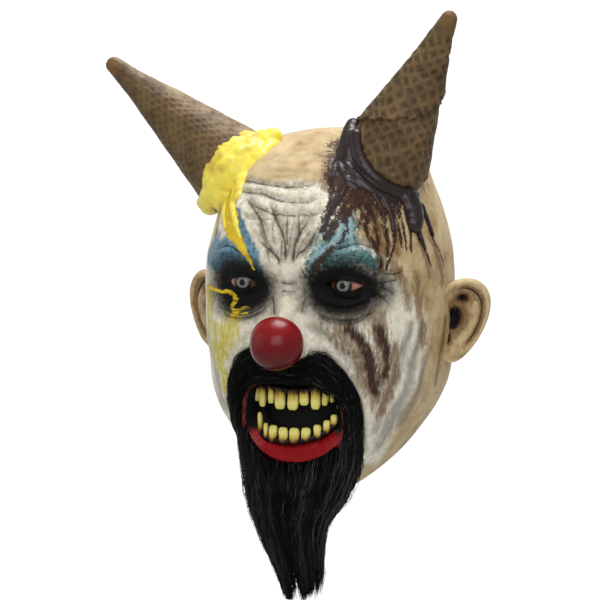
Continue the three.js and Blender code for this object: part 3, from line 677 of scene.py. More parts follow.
def shellMesh():
    bm, directions = headDirections(skin["columns"], skin["rings"], True)
    places = (heart + directions * skinReach(directions)[:, None]) * mm
    for v, place in zip(bm.verts, places):
        v.co = place
    cutOpenings(bm)
    snapToSlit(bm)
    inner, directions = headDirections(skin["insideColumns"], skin["insideRings"], False)
    here = reachInside(heart[None, :] + 0 * directions, directions)
    rise = faceRise(directions, here, True)
    # the inside follows the lowest skin nearby, so the wall is never thin
    for tilt in (skin["wallTilt"], -skin["wallTilt"]):
        for axis in range(3):
            moved = directions + tilt * np.eye(3)[axis]
            moved /= np.linalg.norm(moved, axis=1)[:, None]
            rise = np.minimum(rise, faceRise(moved, reachInside(heart[None, :] + 0 * moved, moved), True))
    places = (heart + directions * (here + rise - skin["wall"])[:, None]) * mm
    for v, place in zip(inner.verts, places):
        v.co = place
    cutOpenings(inner)
    bmesh.ops.reverse_faces(inner, faces=inner.faces)
    holder = meshFrom(inner, "holder")
    inside = bm.verts.layers.float.new("inside")
    outside = set(bm.verts)
    bm.from_mesh(holder)
    bpy.data.meshes.remove(holder)
    for v in bm.verts:
        v[inside] = 0.0 if v in outside else 1.0
    grouped = {}
    for loop in boundaryLoops(bm):
        grouped.setdefault(loopPlace(loop), []).append(loop)
    for place, loops in grouped.items():
        print("shell opening", place, "loops", [len(loop) for loop in loops])
        if len(loops) == 2:
            bmesh.ops.bridge_loops(bm, edges=loops[0] + loops[1])
    return bm


ear = {"x": 105, "y": -9, "z": -150, "half": 24, "tall": 34, "thick": 4.5, "lean": 6, "taper": 0.25,
       "turn": 31, "columns": 72, "rings": 44, "helix": 4.5, "groove": -4.5, "grooveShade": 1.1, "mark": 100}
earForms = [
    # rise, place across and up, stretch across and up, size: fold, bowl, hollow, notch, lobe
    (2.2, 0.36, 0, 1, 1.5, 0.3), (-11.0, -0.12, 0.04, 1, 1.2, 0.34), (-5.5, 0.02, 0.52, 1.5, 1, 0.15),
    (-5.0, -0.26, -0.42, 0.7, 1.3, 0.13), (2.5, -0.05, -0.72, 1, 1, 0.24),
]
earShades = [
    # painted shade in the hollows: darkness, then the same: bowl, hollow, notch
    (1.5, -0.12, 0.04, 1.05, 1.2, 0.36), (1.3, 0.04, 0.52, 1.6, 1, 0.19), (1.3, -0.22, -0.42, 0.7, 1.3, 0.17),
]


def earRise(a, b):
    def spots(rows):
        return [rise * bell(np.hypot((a - x) / wide, (b - y) / tall), size)
                for rise, x, y, wide, tall, size in rows]

    radius = np.hypot(a, b)
    helix = ear["helix"] * bell(radius - 0.9, 0.11) * smoothstep(b + 0.6 * a, -0.9, -0.3)
    underHelix = smoothstep(a, -0.35, 0.1) * smoothstep(b, -0.75, -0.45)
    groove = ear["groove"] * bell(radius - 0.74, 0.075) * underHelix
    grooveShade = ear["grooveShade"] * bell(radius - 0.755, 0.06) * underHelix
    return helix + groove + sum(spots(earForms)), np.maximum.reduce(spots(earShades) + [grooveShade])


def addEar(bm, side):
    ball = bmesh.ops.create_uvsphere(bm, u_segments=ear["columns"], v_segments=ear["rings"], radius=1)
    made = ball["verts"]
    turn = math.radians(ear["turn"])
    outward = np.array([math.cos(turn) * side, math.sin(turn), 0])
    facing = np.array([math.sin(turn) * side, -math.cos(turn), 0])
    disc = np.array([v.co for v in made])
    a, b, t = disc.T
    radius = np.hypot(a, b)
    front = smoothstep(t, -0.1, 0.35)
    rise, dark = earRise(a, b)
    curl = 5 * bell(radius - 0.85, 0.2)
    through = ear["thick"] * t + curl * (1 - front) + rise * front + np.minimum(rise, 0) * (1 - front)
    across = ear["half"] * a * (1 + ear["taper"] * b) + ear["lean"] * b
    places = (np.array([ear["x"] * side, ear["y"], ear["z"]]) + across[:, None] * outward
              + through[:, None] * facing + np.stack([0 * b, 0 * b, ear["tall"] * b], 1))
    shade = bm.verts.layers.float["ear"]
    for v, place, sunk in zip(made, places * mm, dark * front):
        v.co = place
        v[shade] = ear["mark"] + sunk
    bmesh.ops.recalc_face_normals(bm, faces=list({f for v in made for f in v.link_faces}))


def setField(mesh, name, values):
    attribute = mesh.attributes.get(name) or mesh.attributes.new(name, "FLOAT", "POINT")
    attribute.data.foreach_set("value", np.asarray(values, np.float32))


def meshPoints(mesh):
    flat = np.empty(len(mesh.vertices) * 3)
    mesh.vertices.foreach_get("co", flat)
    return flat.reshape(-1, 3) / mm


def dressPiece(name, mesh, nodeNames, material):
    mesh.polygons.foreach_set("use_smooth", [True] * len(mesh.polygons))
    piece = linkObject(name, mesh)
    mesh.materials.append(material)
    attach(piece, "root")
    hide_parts(nodeNames)
    print(name, "triangles", sum(len(p.vertices) - 2 for p in mesh.polygons))


paintRows = [
    # field, colour, second colour, edge and break-up in field units, noise size in mm, roughness, strength,
    # dragged downwards
    ("white", "#ece9dd", "#d0c6a8", 0.40, 0.7, 9.0, 0.45, 1.0, False),
    # grey: painted shade along the cheek and jaw folds
    ("grey", "#565a60", "#857f72", 0.9, 1.3, 6.0, 0.5, 0.62, True),
    ("blue", "#1d4860", "#6a9aac", 0.35, 0.9, 8.0, 0.45, 0.95, False),
    ("teal", "#10343a", "#528a8a", 0.5, 2.3, 4.0, 0.4, 0.95, False),
    # pale: partly pale paint, partly painted highlights
    ("pale", "#79a9b8", "#cfdde2", 0.6, 2.6, 2.2, 0.35, 0.5, False),
    ("lemon", "#a89c1e", "#ddd27e", 0.45, 2.4, 5.0, 0.5, 0.9, True),
    ("black", "#040405", "#0b0a0c", 0.46, 0.3, 4.0, 0.7, 1.0, False),
    ("stainAndShade", "#4a2e1e", "#8f6a3e", 0.6, 2.2, 3.0, 0.45, 0.74, True),
    ("yellow", "#dcc526", "#c4961c", 0.14, 1.3, 4.0, 0.4, 1.0, False),
    ("chocolate", "#120908", "#452a22", 0.34, 2.4, 2.6, 0.3, 0.97, False),
    ("streak", "#150907", "#452818", 0.60, 1.7, 3.0, 0.4, 0.95, True),
    ("red", "#a8151b", "#5f090f", 0.20, 0.35, 2.0, 0.25, 1.0, True),
    ("dark", "#020202", "#050404", 0.35, 0.25, 2.0, 0.7, 1.0, False),
    # a painted sheen of blue-grey on the black mouth floor
    ("tongueSheen", "#161a20", "#2b3038", 0.5, 0.4, 3.0, 0.25, 0.9, False),
]


def latexSkinMaterial():
    # slush-cast natural latex, airbrushed and hand painted: matt tan with brown mottling under thin paint
    material, tree, shader = newMaterial("painted_cast_latex", IOR=1.5, Specular_IOR_Level=0.16)
    place = put(tree, "TexCoord").outputs["Object"]
    blotch = put(tree, "TexNoise", {"Vector": place, "Scale": 1 / 0.026, "Detail": 7.0, "Roughness": 0.66})
    across = put(tree, "Mapping", {"Vector": place, "Scale": (0.35, 0.35, 1)})
    drag = put(tree, "TexNoise", {"Vector": across.outputs[0], "Scale": 1 / 0.006, "Detail": 5.0,
                                  "Roughness": 0.6})
    down = put(tree, "Mapping", {"Vector": place, "Scale": (1, 1, 0.28)})
    run = put(tree, "TexNoise", {"Vector": down.outputs[0], "Scale": 1 / 0.007, "Detail": 6.0,
                                 "Roughness": 0.65})
    tan = put(tree, "ValToRGB", {"Fac": blotch.outputs["Fac"]},
              stops=[(0.28, "#8f7450"), (0.42, "#b39a70"), (0.56, "#c6b088"), (0.75, "#d0bd99")])
    scuff = put(tree, "MapRange", {"Value": drag.outputs["Fac"], "From Min": 0.54, "From Max": 0.74,
                                   "To Max": 0.42})
    colour = put(tree, "Mix", {0: scuff.outputs[0], 6: tan.outputs["Color"], 7: linear("#7d5f3c")},
                 data_type="RGBA").outputs[2]
    rough = 0.55
    heights = []
    for name, first, second, soft, broken, size, gloss, strength, dragged in paintRows:
        brushed = down.outputs[0] if dragged else place
        field = put(tree, "Attribute", attribute_name=name).outputs["Fac"]
        noise = put(tree, "TexNoise", {"Vector": brushed, "Scale": 1 / (size * mm), "Detail": 7.0,
                                       "Roughness": 0.7})
        ragged = put(tree, "MapRange", {"Value": noise.outputs["Fac"], "From Min": 0.25, "From Max": 0.75,
                                        "To Min": -broken / 2, "To Max": broken / 2}, clamp=False)
        edge = put(tree, "Math", {0: field, 1: ragged.outputs[0]}, operation="ADD")
        cover = put(tree, "MapRange", {"Value": edge.outputs[0], "From Min": -soft, "From Max": soft,
                                       "To Max": strength}, interpolation_type="SMOOTHSTEP")
        fine = put(tree, "TexNoise", {"Vector": brushed, "Scale": 2.2 / (size * mm), "Detail": 5.0,
                                      "Roughness": 0.7})
        blend = put(tree, "MapRange", {"Value": fine.outputs["Fac"], "From Min": 0.34, "From Max": 0.68})
        tone = put(tree, "Mix", {0: blend.outputs[0], 6: linear(first), 7: linear(second)}, data_type="RGBA")
        colour = put(tree, "Mix", {0: cover.outputs[0], 6: colour, 7: tone.outputs[2]},
                     data_type="RGBA").outputs[2]
        rough = put(tree, "Mix", {0: cover.outputs[0], 2: rough, 3: gloss}).outputs[0]
        if name in ("chocolate", "yellow"):
            heights.append(cover.outputs[0])
        if name == "white":
            # grime rubbed over the white ground in blotches and runs, and a darker wash along the folds that
            # is partly painted shade
            smear = put(tree, "MapRange", {"Value": run.outputs["Fac"], "From Min": 0.52, "From Max": 0.76,
                                           "To Max": 0.36})
            colour = put(tree, "Mix", {0: smear.outputs[0], 6: colour, 7: linear("#84775f")},
                         data_type="RGBA").outputs[2]
            # along the folds the white is darkened: partly grime, partly painted shade
            foldWashAndShade = put(tree, "Attribute", attribute_name="foldWashAndShade").outputs["Fac"]
            patchy = put(tree, "MapRange", {"Value": fine.outputs["Fac"], "From Min": 0.3, "From Max": 0.65,
                                            "To Min": 0.25, "To Max": 0.8})
            wash = put(tree, "Math", {0: foldWashAndShade, 1: patchy.outputs[0]}, operation="MULTIPLY")
            colour = put(tree, "Mix", {0: wash.outputs[0], 6: colour, 7: linear("#62543f")},
                         data_type="RGBA").outputs[2]
    # the floors of the folds are coloured near black: partly a dark ink wash, partly painted shade
    crease = put(tree, "Attribute", attribute_name="crease").outputs["Fac"]
    broken = put(tree, "MapRange", {"Value": blotch.outputs["Fac"], "From Min": 0.3, "From Max": 0.6,
                                    "To Min": 0.45, "To Max": 0.95})
    washAndShade = put(tree, "Math", {0: crease, 1: broken.outputs[0]}, operation="MULTIPLY")
    wash = put(tree, "MapRange", {"Value": washAndShade.outputs[0], "From Min": 0.12, "From Max": 0.75,
                                  "To Max": 0.85}, interpolation_type="SMOOTHSTEP")
    colour = put(tree, "Mix", {0: wash.outputs[0], 6: colour, 7: linear("#1d1510")},
                 data_type="RGBA").outputs[2]
    inside = put(tree, "Attribute", attribute_name="inside").outputs["Fac"]
    colour = put(tree, "Mix", {0: inside, 6: colour, 7: linear("#b5a17c")}, data_type="RGBA").outputs[2]
    pores = put(tree, "TexNoise", {"Vector": place, "Scale": 1 / 0.0016, "Detail": 3.0, "Roughness": 0.6})
    height = put(tree, "Math", {0: pores.outputs["Fac"], 1: 0.14}, operation="MULTIPLY").outputs[0]
    for raised in heights:
        height = put(tree, "Math", {0: raised, 1: height}, operation="ADD").outputs[0]
    sunk = put(tree, "Math", {0: crease, 1: -0.6, 2: height}, operation="MULTIPLY_ADD")
    bump = put(tree, "Bump", {"Height": sunk.outputs[0], "Strength": 0.7, "Distance": 0.9 * mm})
    tree.links.new(colour, shader.inputs["Base Color"])
    tree.links.new(rough, shader.inputs["Roughness"])
    tree.links.new(bump.outputs[0], shader.inputs["Normal"])
    return material


moustacheRows = [
    # each half as (x, half width, height), from the middle out and down
    [(0, 13, -178), (18, 13.5, -177), (33, 11, -187.5), (45.5, 6.5, -203), (48.3, 5.8, -222),
     (45, 5.8, -244)],
    [(0, 13, -178), (-22, 14, -176), (-39, 11.5, -184), (-49, 8.5, -201), (-49, 8, -244)],
]
whiteGround = {
    # edges as heights and turns, each with the distance over which the paint fades
    "top": -35.5, "topSoft": 10, "low": -262, "lowSoft": 14, "right": -74, "rightSoft": 12,
    "left": 22, "leftSoft": 9, "softFrom": 95, "softTo": 150,
    # how far the left edge moves out between two depths below the crown
    "leftSteps": [(24, 62, 104), (17, 104, 150), (-10, 180, 235)],
}
eyeShadow = {"outer": 36, "inner": 33, "over": 21.5, "under": 26, "drop": 1.0, "full": 1.35}
lipPaint = {
    # the band's edges beside the lip line, and how far they move on the lower lip
    "inner": -0.6, "innerLow": -2.6, "outer": 2.0, "outerLow": 8.8, "soft": 1.2, "sideStrength": 0.22,
    "around": 7, "aroundSoft": 3,
}
beardPaint = {"lipHalf": 43.5, "lipTall": 28, "lipZ": -226, "top": -225, "half": 46, "taper": 0.3,
              "taperFrom": -235}
tongueSheenPaint = {"half": 26, "tall": 5, "z": -221, "curl": 4, "inside": -9}
faceFront, browFront = -40, -30  # paint stays in front of these depths


def wingTop(x):
    # hair keeps below the nose wings
    return -173 + 18 * smoothstep(np.abs(x), 14.5, 19.5)


def clipped(field):
    return np.clip(field, -1, 1)


def whiteField(turn, z):
    # white ground over the face, fading to bare latex on the scalp, the temples and the jaw
    leftEnd = whiteGround["left"] + sum(more * smoothstep(-z, high, low)
                                        for more, high, low in whiteGround["leftSteps"])
    spread = smoothstep(-z, whiteGround["softFrom"], whiteGround["softTo"])
    return clipped(np.minimum.reduce([
        (whiteGround["top"] - z) / whiteGround["topSoft"], (z - whiteGround["low"]) / whiteGround["lowSoft"],
        (leftEnd - turn) / (whiteGround["leftSoft"] * (1 + spread)),
        (turn - whiteGround["right"]) / whiteGround["rightSoft"]]))


def eyeBlack(at):
    # airbrushed black round the eyes
    black = np.full(len(at), -1.0)
    for side in (-1, 1):
        x = (at[:, 0] - eye["x"] * side) * side
        up = at[:, 2] - eye["z"] + eyeShadow["drop"]
        across = x / np.where(x > 0, eyeShadow["outer"], eyeShadow["inner"])
        high = up / np.where(up > 0, eyeShadow["over"], eyeShadow["under"])
        black = np.maximum(black, clipped(eyeShadow["full"] * (1 - np.hypot(across, high))))
    return np.where(at[:, 1] < browFront, black, -1)


def hairShadow(at, lipBand, bottom):
    # skin under the moustache and beard is blackened, so that none shows between the strands
    z = at[:, 2]
    flat = at * (1, 0, 1)
    hair = np.full(len(at), -1.0)
    for rows in moustacheRows:
        line = smoothPath(rows, 30)
        distance, share = distanceToPath(flat, line * (1, 0, 1))
        hair = np.maximum(hair, 1 - distance / (1.5 + np.interp(share, np.linspace(0, 1, 30), line[:, 1])))
    hair = np.where(z > wingTop(at[:, 0]), -1, hair)
    lipOval = np.hypot(at[:, 0] / beardPaint["lipHalf"], (z - beardPaint["lipZ"]) / beardPaint["lipTall"])
    half = beardPaint["half"] - beardPaint["taper"] * np.maximum(beardPaint["taperFrom"] - z, 0)
    chin = np.minimum.reduce([(lipOval - 1) * 9, (beardPaint["top"] - z) / 4, (half - np.abs(at[:, 0])) / 6])
    free = (lipBand > 1.5 + 2 * bottom) & (at[:, 1] < browFront)
    return np.where(free, clipped(np.maximum(hair, chin)), -1)


def mouthPaint(at, directions):
    around, away = mouthAngles(directions)
    lipBand = (away - lipAngle(around)) * mouthReach
    sink = np.sin(around)
    bottom = smoothstep(sink, 0.3, 0.8)
    lipFrom = lipPaint["inner"] + lipPaint["innerLow"] * bottom
    lipTo = lipPaint["outer"] + lipPaint["outerLow"] * bottom
    # the red ends at the upper corners and darkens up both sides of the mouth, as painted shade on the recess
    # walls
    red = np.minimum.reduce([(lipBand - lipFrom) / lipPaint["soft"], (lipTo - lipBand) / lipPaint["soft"],
                             (sink + 0.5) / 0.4, lipPaint["sideStrength"] + 0.8 * bottom])
    inMouth = clipped((lipFrom + 0.4 - lipBand) / lipPaint["soft"])
    # beside the lips and along the upper lip the skin is painted dark: painted shade under the moustache and
    # in the mouth's sides
    besideLip = np.minimum((lipPaint["around"] - lipBand) / lipPaint["aroundSoft"], 0.3 - 1.5 * red)
    upperLip = np.where(sink < 0.6, clipped(besideLip), -1)
    inFront = at[:, 1] < faceFront
    dark = np.maximum(np.where(inFront, np.maximum(inMouth, upperLip), -1), hairShadow(at, lipBand, bottom))
    # a paler blue-grey patch on the black mouth floor: a painted sheen on the tongue
    rise = at[:, 2] - tongueSheenPaint["z"] - tongueSheenPaint["curl"] * (at[:, 0] / 30) ** 2
    tongueSheen = clipped(1 - np.hypot(at[:, 0] / tongueSheenPaint["half"], rise / tongueSheenPaint["tall"]))
    return {"red": np.where(inFront, clipped(red), -1), "dark": dark,
            "tongueSheen": np.where((lipBand < tongueSheenPaint["inside"]) & inFront, tongueSheen, -1)}


def readField(mesh, name):
    values = np.empty(len(mesh.vertices), np.float32)
    mesh.attributes[name].data.foreach_get("value", values)
    return values


def paintShell(mesh):
    points = meshPoints(mesh)
    earShade = readField(mesh, "ear")
    isEar = earShade > ear["mark"] / 2
    directions = points - heart
    directions /= np.linalg.norm(directions, axis=1)[:, None]
    plain = reachInside(heart[None, :] + 0 * directions, directions)
    at = heart + directions * plain[:, None]
    turn = np.degrees(np.arctan2(at[:, 0], -(at[:, 1] - heart[1])))
    fields = {"white": whiteField(turn, at[:, 2])}
    for name, rows in strokeRows.items():
        fields[name] = strokeField(at, rows)
    fields["black"] = eyeBlack(at)
    fields.update(mouthPaint(at, directions))
    # fold lines and the wash round them: partly ink, partly painted shade in the folds
    fields["crease"], fields["foldWashAndShade"] = creaseRelief(at)[1:]
    # the inner side of the lids is painted black as well: painted shade seen past the eyes through the slits
    inside = readField(mesh, "inside")
    nearEye = np.hypot(np.abs(points[:, 0]) - eye["x"], points[:, 2] - eye["z"]) < 26
    behindLid = (inside > 0.5) & nearEye & (points[:, 1] < -60)
    setField(mesh, "inside", np.where(behindLid, 0, inside))
    fields["black"] = np.where(behindLid, 1, fields["black"])
    # the ear's hollows are painted black with a brown edge: painted shade in the bowl, the hollow, the notch
    # and under the helix
    shade = earShade - ear["mark"]
    earPaint = {"black": clipped(shade * 1.9 - 1.6), "crease": 0.0, "foldWashAndShade": 0.0,
                "stainAndShade": clipped(np.minimum(shade * 2 - 0.7, (1.05 - shade) * 4))}
    for name, values in fields.items():
        setField(mesh, name, np.where(isEar, earPaint.get(name, -1.0), values))


def buildShell(material):
    bm = shellMesh()
    bm.verts.layers.float.new("ear")
    for side in (-1, 1):
        addEar(bm, side)
    mesh = meshFrom(bm, "mask_skin")
    paintShell(mesh)
    dressPiece("mask_skin", mesh, "mask_shell", material)


buildShell(latexSkinMaterial())

# Waffle cones: one rolled sheet each, its ridges laid out on the flat sheet

cone = {"radius": 37, "tip": 5, "stub": 27, "stubLength": 40, "roll": 2.0,
        "segments": 232, "rings": 124, "lineAngle": 50, "ridgeWidth": 0.22, "bulb": 1.7,
        "wander": 0.7, "lapShift": 2.3, "seamLip": 1.2, "seamWidth": 0.02, "swell": 0.35}
coneRows = [
    {"name": "waffle_cone_left", "node": "cone_left", "rim": (52.5, -38, -20), "point": (112, -51, 98),
     "seam": 0.176, "twist": -1.35, "front": 110,
     "pitch": 8.0, "ridge": 1.15, "plainFrom": 0.8, "washAndShade": 0.9},
    {"name": "waffle_cone_right", "node": "cone_right", "rim": (-76, -34, -33), "point": (-183, -45, 57),
     "seam": 0.25, "twist": -0.1, "front": 110,
     "pitch": 5.6, "ridge": 0.9, "plainFrom": 0.5, "washAndShade": 0.62},
]


def frameAlong(axis):
    axis = np.asarray(axis, float) / np.linalg.norm(axis)
    side = np.cross([0, -1, 0], axis)
    side /= np.linalg.norm(side)
    return side, np.cross(axis, side), axis


def waffleMaterial():
    # latex cast from a pressed wafer, dark wash left in the cells and rubbed off the ridges; the darker cells
    # are partly painted shade
    material, tree, shader = newMaterial("cast_waffle_latex", IOR=1.5, Roughness=0.45,
                                         Specular_IOR_Level=0.25)
    place = put(tree, "TexCoord").outputs["Object"]
    ridge = put(tree, "Attribute", attribute_name="ridge").outputs["Fac"]
    tip = put(tree, "Attribute", attribute_name="tip").outputs["Fac"]
    toast = put(tree, "TexNoise", {"Vector": place, "Scale": 1 / 0.016, "Detail": 7.0, "Roughness": 0.68})
    crumb = put(tree, "TexNoise", {"Vector": place, "Scale": 1 / 0.0018, "Detail": 5.0, "Roughness": 0.72})
    spread = put(tree, "MapRange", {"Value": toast.outputs["Fac"], "From Min": 0.32, "From Max": 0.68})
    low = put(tree, "Mix", {0: spread.outputs[0], 6: linear("#302212"), 7: linear("#574327")},
              data_type="RGBA")
    high = put(tree, "Mix", {0: spread.outputs[0], 6: linear("#4b3820"), 7: linear("#7a623f")},
               data_type="RGBA")
    uneven = put(tree, "MapRange", {"Value": crumb.outputs["Fac"], "From Min": 0.3, "From Max": 0.7,
                                    "To Min": -0.28, "To Max": 0.28}, clamp=False)
    # ridges paler than the cells: partly wash rubbed off, partly painted shade in the cells
    ridgeRubbedAndLit = put(tree, "Math", {0: ridge, 1: uneven.outputs[0]}, operation="ADD")
    lift = put(tree, "MapRange", {"Value": ridgeRubbedAndLit.outputs[0], "From Min": 0.05, "From Max": 0.9})
    colour = put(tree, "Mix", {0: lift.outputs[0], 6: low.outputs[2], 7: high.outputs[2]}, data_type="RGBA")
    baked = put(tree, "Mix", {0: tip, 6: colour.outputs[2], 7: linear("#84613a")}, data_type="RGBA")
    # painted highlight: the upward side of the cone is paler
    topHighlight = put(tree, "Attribute", attribute_name="topHighlight").outputs["Fac"]
    highlightShare = put(tree, "Math", {0: topHighlight, 1: spread.outputs[0]}, operation="MULTIPLY")
    baked = put(tree, "Mix", {0: highlightShare.outputs[0], 6: baked.outputs[2], 7: linear("#b8a184")},
                data_type="RGBA")
    bump = put(tree, "Bump", {"Height": crumb.outputs["Fac"], "Strength": 0.7, "Distance": 0.8 * mm})
    tree.links.new(baked.outputs[2], shader.inputs["Base Color"])
    tree.links.new(bump.outputs[0], shader.inputs["Normal"])
    return material


def waffleRidges(row, angle, along, wound, taper):
    # the wafer is pressed flat and then rolled, so its lines are laid out on the unrolled sheet
    slope = math.atan(taper)
    sheet = np.maximum(cone["radius"] - taper * along, 1) / math.sin(slope)
    fan = (angle - math.radians(row["front"]) + math.pi) % (2 * math.pi) - math.pi
    fan = fan * math.sin(slope)
    flatX, flatY = sheet * np.cos(fan) + cone["lapShift"] * np.floor(wound), sheet * np.sin(fan)
    wander = 0.3 * np.sin(flatX / 9 + 1.3 * np.sin(flatY / 7)) + 0.25 * np.sin(flatY / 5 + flatX / 13)
    lineAngle = math.radians(cone["lineAngle"])
    ridge = np.zeros(len(angle))
    for sign in (-1, 1):
        place = (flatX * math.sin(lineAngle) + sign * flatY * math.cos(lineAngle)) / row["pitch"]
        off = np.abs((place + cone["wander"] * wander + 0.5) % 1 - 0.5)
        ridge = np.maximum(ridge, bell(off, cone["ridgeWidth"]))
    return ridge


def buildCone(row, material):
    rimAt, point = np.array(row["rim"], float), np.array(row["point"], float)
    length = np.linalg.norm(point - rimAt)
    side, other, axis = frameAlong(point - rimAt)
    bm = bmesh.new()
    bmesh.ops.create_cone(bm, cap_ends=True, segments=cone["segments"], radius1=1, radius2=1, depth=1)
    rising = [e for e in bm.edges if abs(e.verts[0].co.z - e.verts[1].co.z) > 0.5]
    bmesh.ops.subdivide_edges(bm, edges=rising, cuts=cone["rings"])
    flat = np.array([v.co for v in bm.verts])
    angle = np.arctan2(flat[:, 1], flat[:, 0])
    # share 0 at the stub inside the head, 1 at the end of the rounded tip
    share = flat[:, 2] + 0.5
    along = -cone["stubLength"] + share * (cone["stubLength"] + length)
    straight = length - cone["tip"]
    body = np.clip(along / straight, 0, 1)
    inStub = along < 0
    stubShare = np.clip(-along / cone["stubLength"], 0, 1)
    radius = np.where(inStub, cone["radius"] + (cone["stub"] - cone["radius"]) * stubShare,
                      cone["radius"] + (cone["tip"] - cone["radius"]) * body)
    past = np.clip((along - straight) / cone["tip"], 0, 1)
    radius *= np.sqrt(np.maximum(1 - past ** 2, 0.0))
    # the sheet is rolled: its outer edge runs up the cone as a ragged step
    ragged = 0.012 * np.sin(9 * angle + 31 * body) + 0.008 * np.sin(23 * angle - 47 * body)
    wound = angle / (2 * math.pi) + row["seam"] + row["twist"] * body + ragged
    turn = wound % 1
    fade = 1 - smoothstep(body, row["plainFrom"], 0.98)
    ridge = waffleRidges(row, angle, along, wound, (cone["radius"] - cone["tip"]) / straight)
    # towards the tip the ridges fade; below the lapped edge they are flattened and coloured dark, a painted
    # shadow under the lap
    ridge *= (0.1 + 0.9 * fade) * (1 - 0.85 * bell(turn, 0.022) * fade)
    rise = cone["roll"] * (turn - 0.5) * (1 - smoothstep(body, 0.55, 0.85))
    rise += cone["seamLip"] * bell(1 - turn, cone["seamWidth"]) * (1 - smoothstep(body, 0.6, 0.85))
    rise += cone["swell"] * np.sin(5 * angle + 17 * body) * np.sin(13 * body + 2 * angle)
    rise += row["ridge"] * (ridge - 0.5) + cone["bulb"] * smoothstep(body, 0.8, 1.0)
    radius += np.where(inStub, 0, rise * (1 - past))
    places = (rimAt + axis * along[:, None] + side * (radius * np.cos(angle))[:, None]
              + other * (radius * np.sin(angle))[:, None]) * mm
    for v, place in zip(bm.verts, places):
        v.co = place
    bmesh.ops.recalc_face_normals(bm, faces=bm.faces)
    mesh = meshFrom(bm, row["name"])
    # cells between the ridges are coloured darker: partly wash, partly painted shade
    setField(mesh, "ridge", 1 - row["washAndShade"] * (1 - ridge))
    setField(mesh, "tip", 0.5 * smoothstep(body, 0.88, 0.99))
    # the side that faces up is painted paler: a painted highlight where the overhead light falls
    setField(mesh, "topHighlight", 0.85 * smoothstep(side[2] * np.cos(angle) + other[2] * np.sin(angle), 0.45, 0.85))
    dressPiece(row["name"], mesh, row["node"], material)


waffle = waffleMaterial()
for row in coneRows:
    buildCone(row, waffle)

# Melts: beads run together round each cone's foot and down the skin

meltRows = [
    {"name": "chocolate_melt_coat", "node": "chocolate_melt", "slot": "chocolate_coat", "cone": 0,
     "collar": 5.5, "low": 5, "lumpy": 0.25, "arc": (236, 350), "sink": 0.35, "soften": 9, "fringe": 0,
     "voxel": 0.7,
     "runs": [
         # along: points on the head as (turn, height); at: points in space
         {"at": [(37, -64, 0), (40, -70, -11), (46.5, -73.5, -22), (55, -72.5, -32), (64.5, -67, -40),
                 (73, -58, -45), (79, -47, -48)], "from": 6, "to": 6, "even": True, "sink": 0.1},
         {"along": [(26, -16), (29, -26), (34, -35), (41, -43.5), (50, -50)],
          "from": 7.5, "to": 4.5, "sink": 0.5},
         {"along": [(25, -12), (23, -22), (25, -31), (30, -39)], "from": 7, "to": 4, "sink": 0.65},
         {"at": [(33, -69, -17), (32, -66, -8), (31, -60, 0), (30.5, -54, 6), (30.5, -51, 9)],
          "from": 11, "to": 6.5, "even": True},
         {"at": [(76, -54, -47), (81, -54.5, -56), (84, -58, -64), (84.5, -59.5, -67)],
          "from": 11, "to": 9, "even": True},
         {"along": [(26, -10), (20.5, -19), (18.6, -29), (17.8, -38)], "from": 5.5, "to": 1.8, "sink": 0.75},
         {"along": [(27, -32), (22.5, -45), (18, -57), (15, -70)], "from": 4.0, "to": 1.6, "sink": 0.7},
         {"along": [(38.7, -36), (43.5, -46), (45.8, -58.7), (45.8, -72)],
          "from": 3.4, "to": 2.2, "sink": 0.5},
         {"along": [(34, -36), (39, -45), (41.8, -56), (42, -67)], "from": 2.2, "to": 1.1, "sink": 0.6},
         {"along": [(44, -39), (49.5, -48.4), (51.5, -58)], "from": 2.6, "to": 1.3, "sink": 0.5},
         {"along": [(62, -68), (62.5, -79), (64, -90)], "from": 3.0, "to": 1.1, "sink": 0.5},
         {"along": [(70, -56), (72.2, -66), (74.5, -80)], "from": 3.6, "to": 1.1, "sink": 0.5},
     ]},
    {"name": "vanilla_melt_coat", "node": "vanilla_melt", "slot": "vanilla_coat", "cone": 1,
     "collar": 6.5, "low": 4, "lumpy": 0.6, "arc": (0, 360), "sink": 0.3, "soften": 12, "fringe": 34,
     "voxel": 0.8,
     "runs": [
         {"at": [(-54, -44, -3), (-61, -48.5, -5), (-68, -57.5, -9), (-74, -62.5, -14), (-80, -65.5, -21),
                 (-86, -66, -30), (-89, -63.5, -40), (-89, -60, -50)], "from": 5, "to": 5.5},
         {"at": [(-42, -42, -2), (-47, -46, -6), (-52, -53, -13), (-57, -61, -20), (-63, -66, -26),
                 (-70, -68, -34), (-75, -67, -44), (-78, -64, -53)], "from": 9, "to": 9},
         {"at": [(-48.5, -43, -3.5), (-54, -47.5, -6), (-60, -55.5, -11), (-65.5, -62, -17),
                 (-71.5, -66, -23.5), (-78, -67.5, -32), (-82, -65.5, -42), (-83.5, -62, -51.5)],
          "from": 7, "to": 8},
         {"along": [(-47, -9), (-43.5, -14.5), (-42, -22), (-42.8, -31), (-39.4, -40), (-35, -49)],
          "from": 8, "to": 5},
         {"along": [(-43, -42), (-37, -53), (-30, -64), (-24, -76), (-18.5, -88)],
          "from": 7.5, "to": 1.8, "sink": 0.72},
         {"along": [(-50, -48), (-45, -57), (-38, -67), (-34, -73)], "from": 6.5, "to": 2.2, "sink": 0.76},
     ]},
]


bead = {"collarStep": 2.5, "collarWobble": 0.8, "runWobble": 0.16, "spacing": 0.28, "pathSteps": 160,
        "fringeSize": 4.2, "fringeTaper": 0.75, "fringeLean": 0.27, "fringeReach": (5, 10), "fringeBeads": 7}


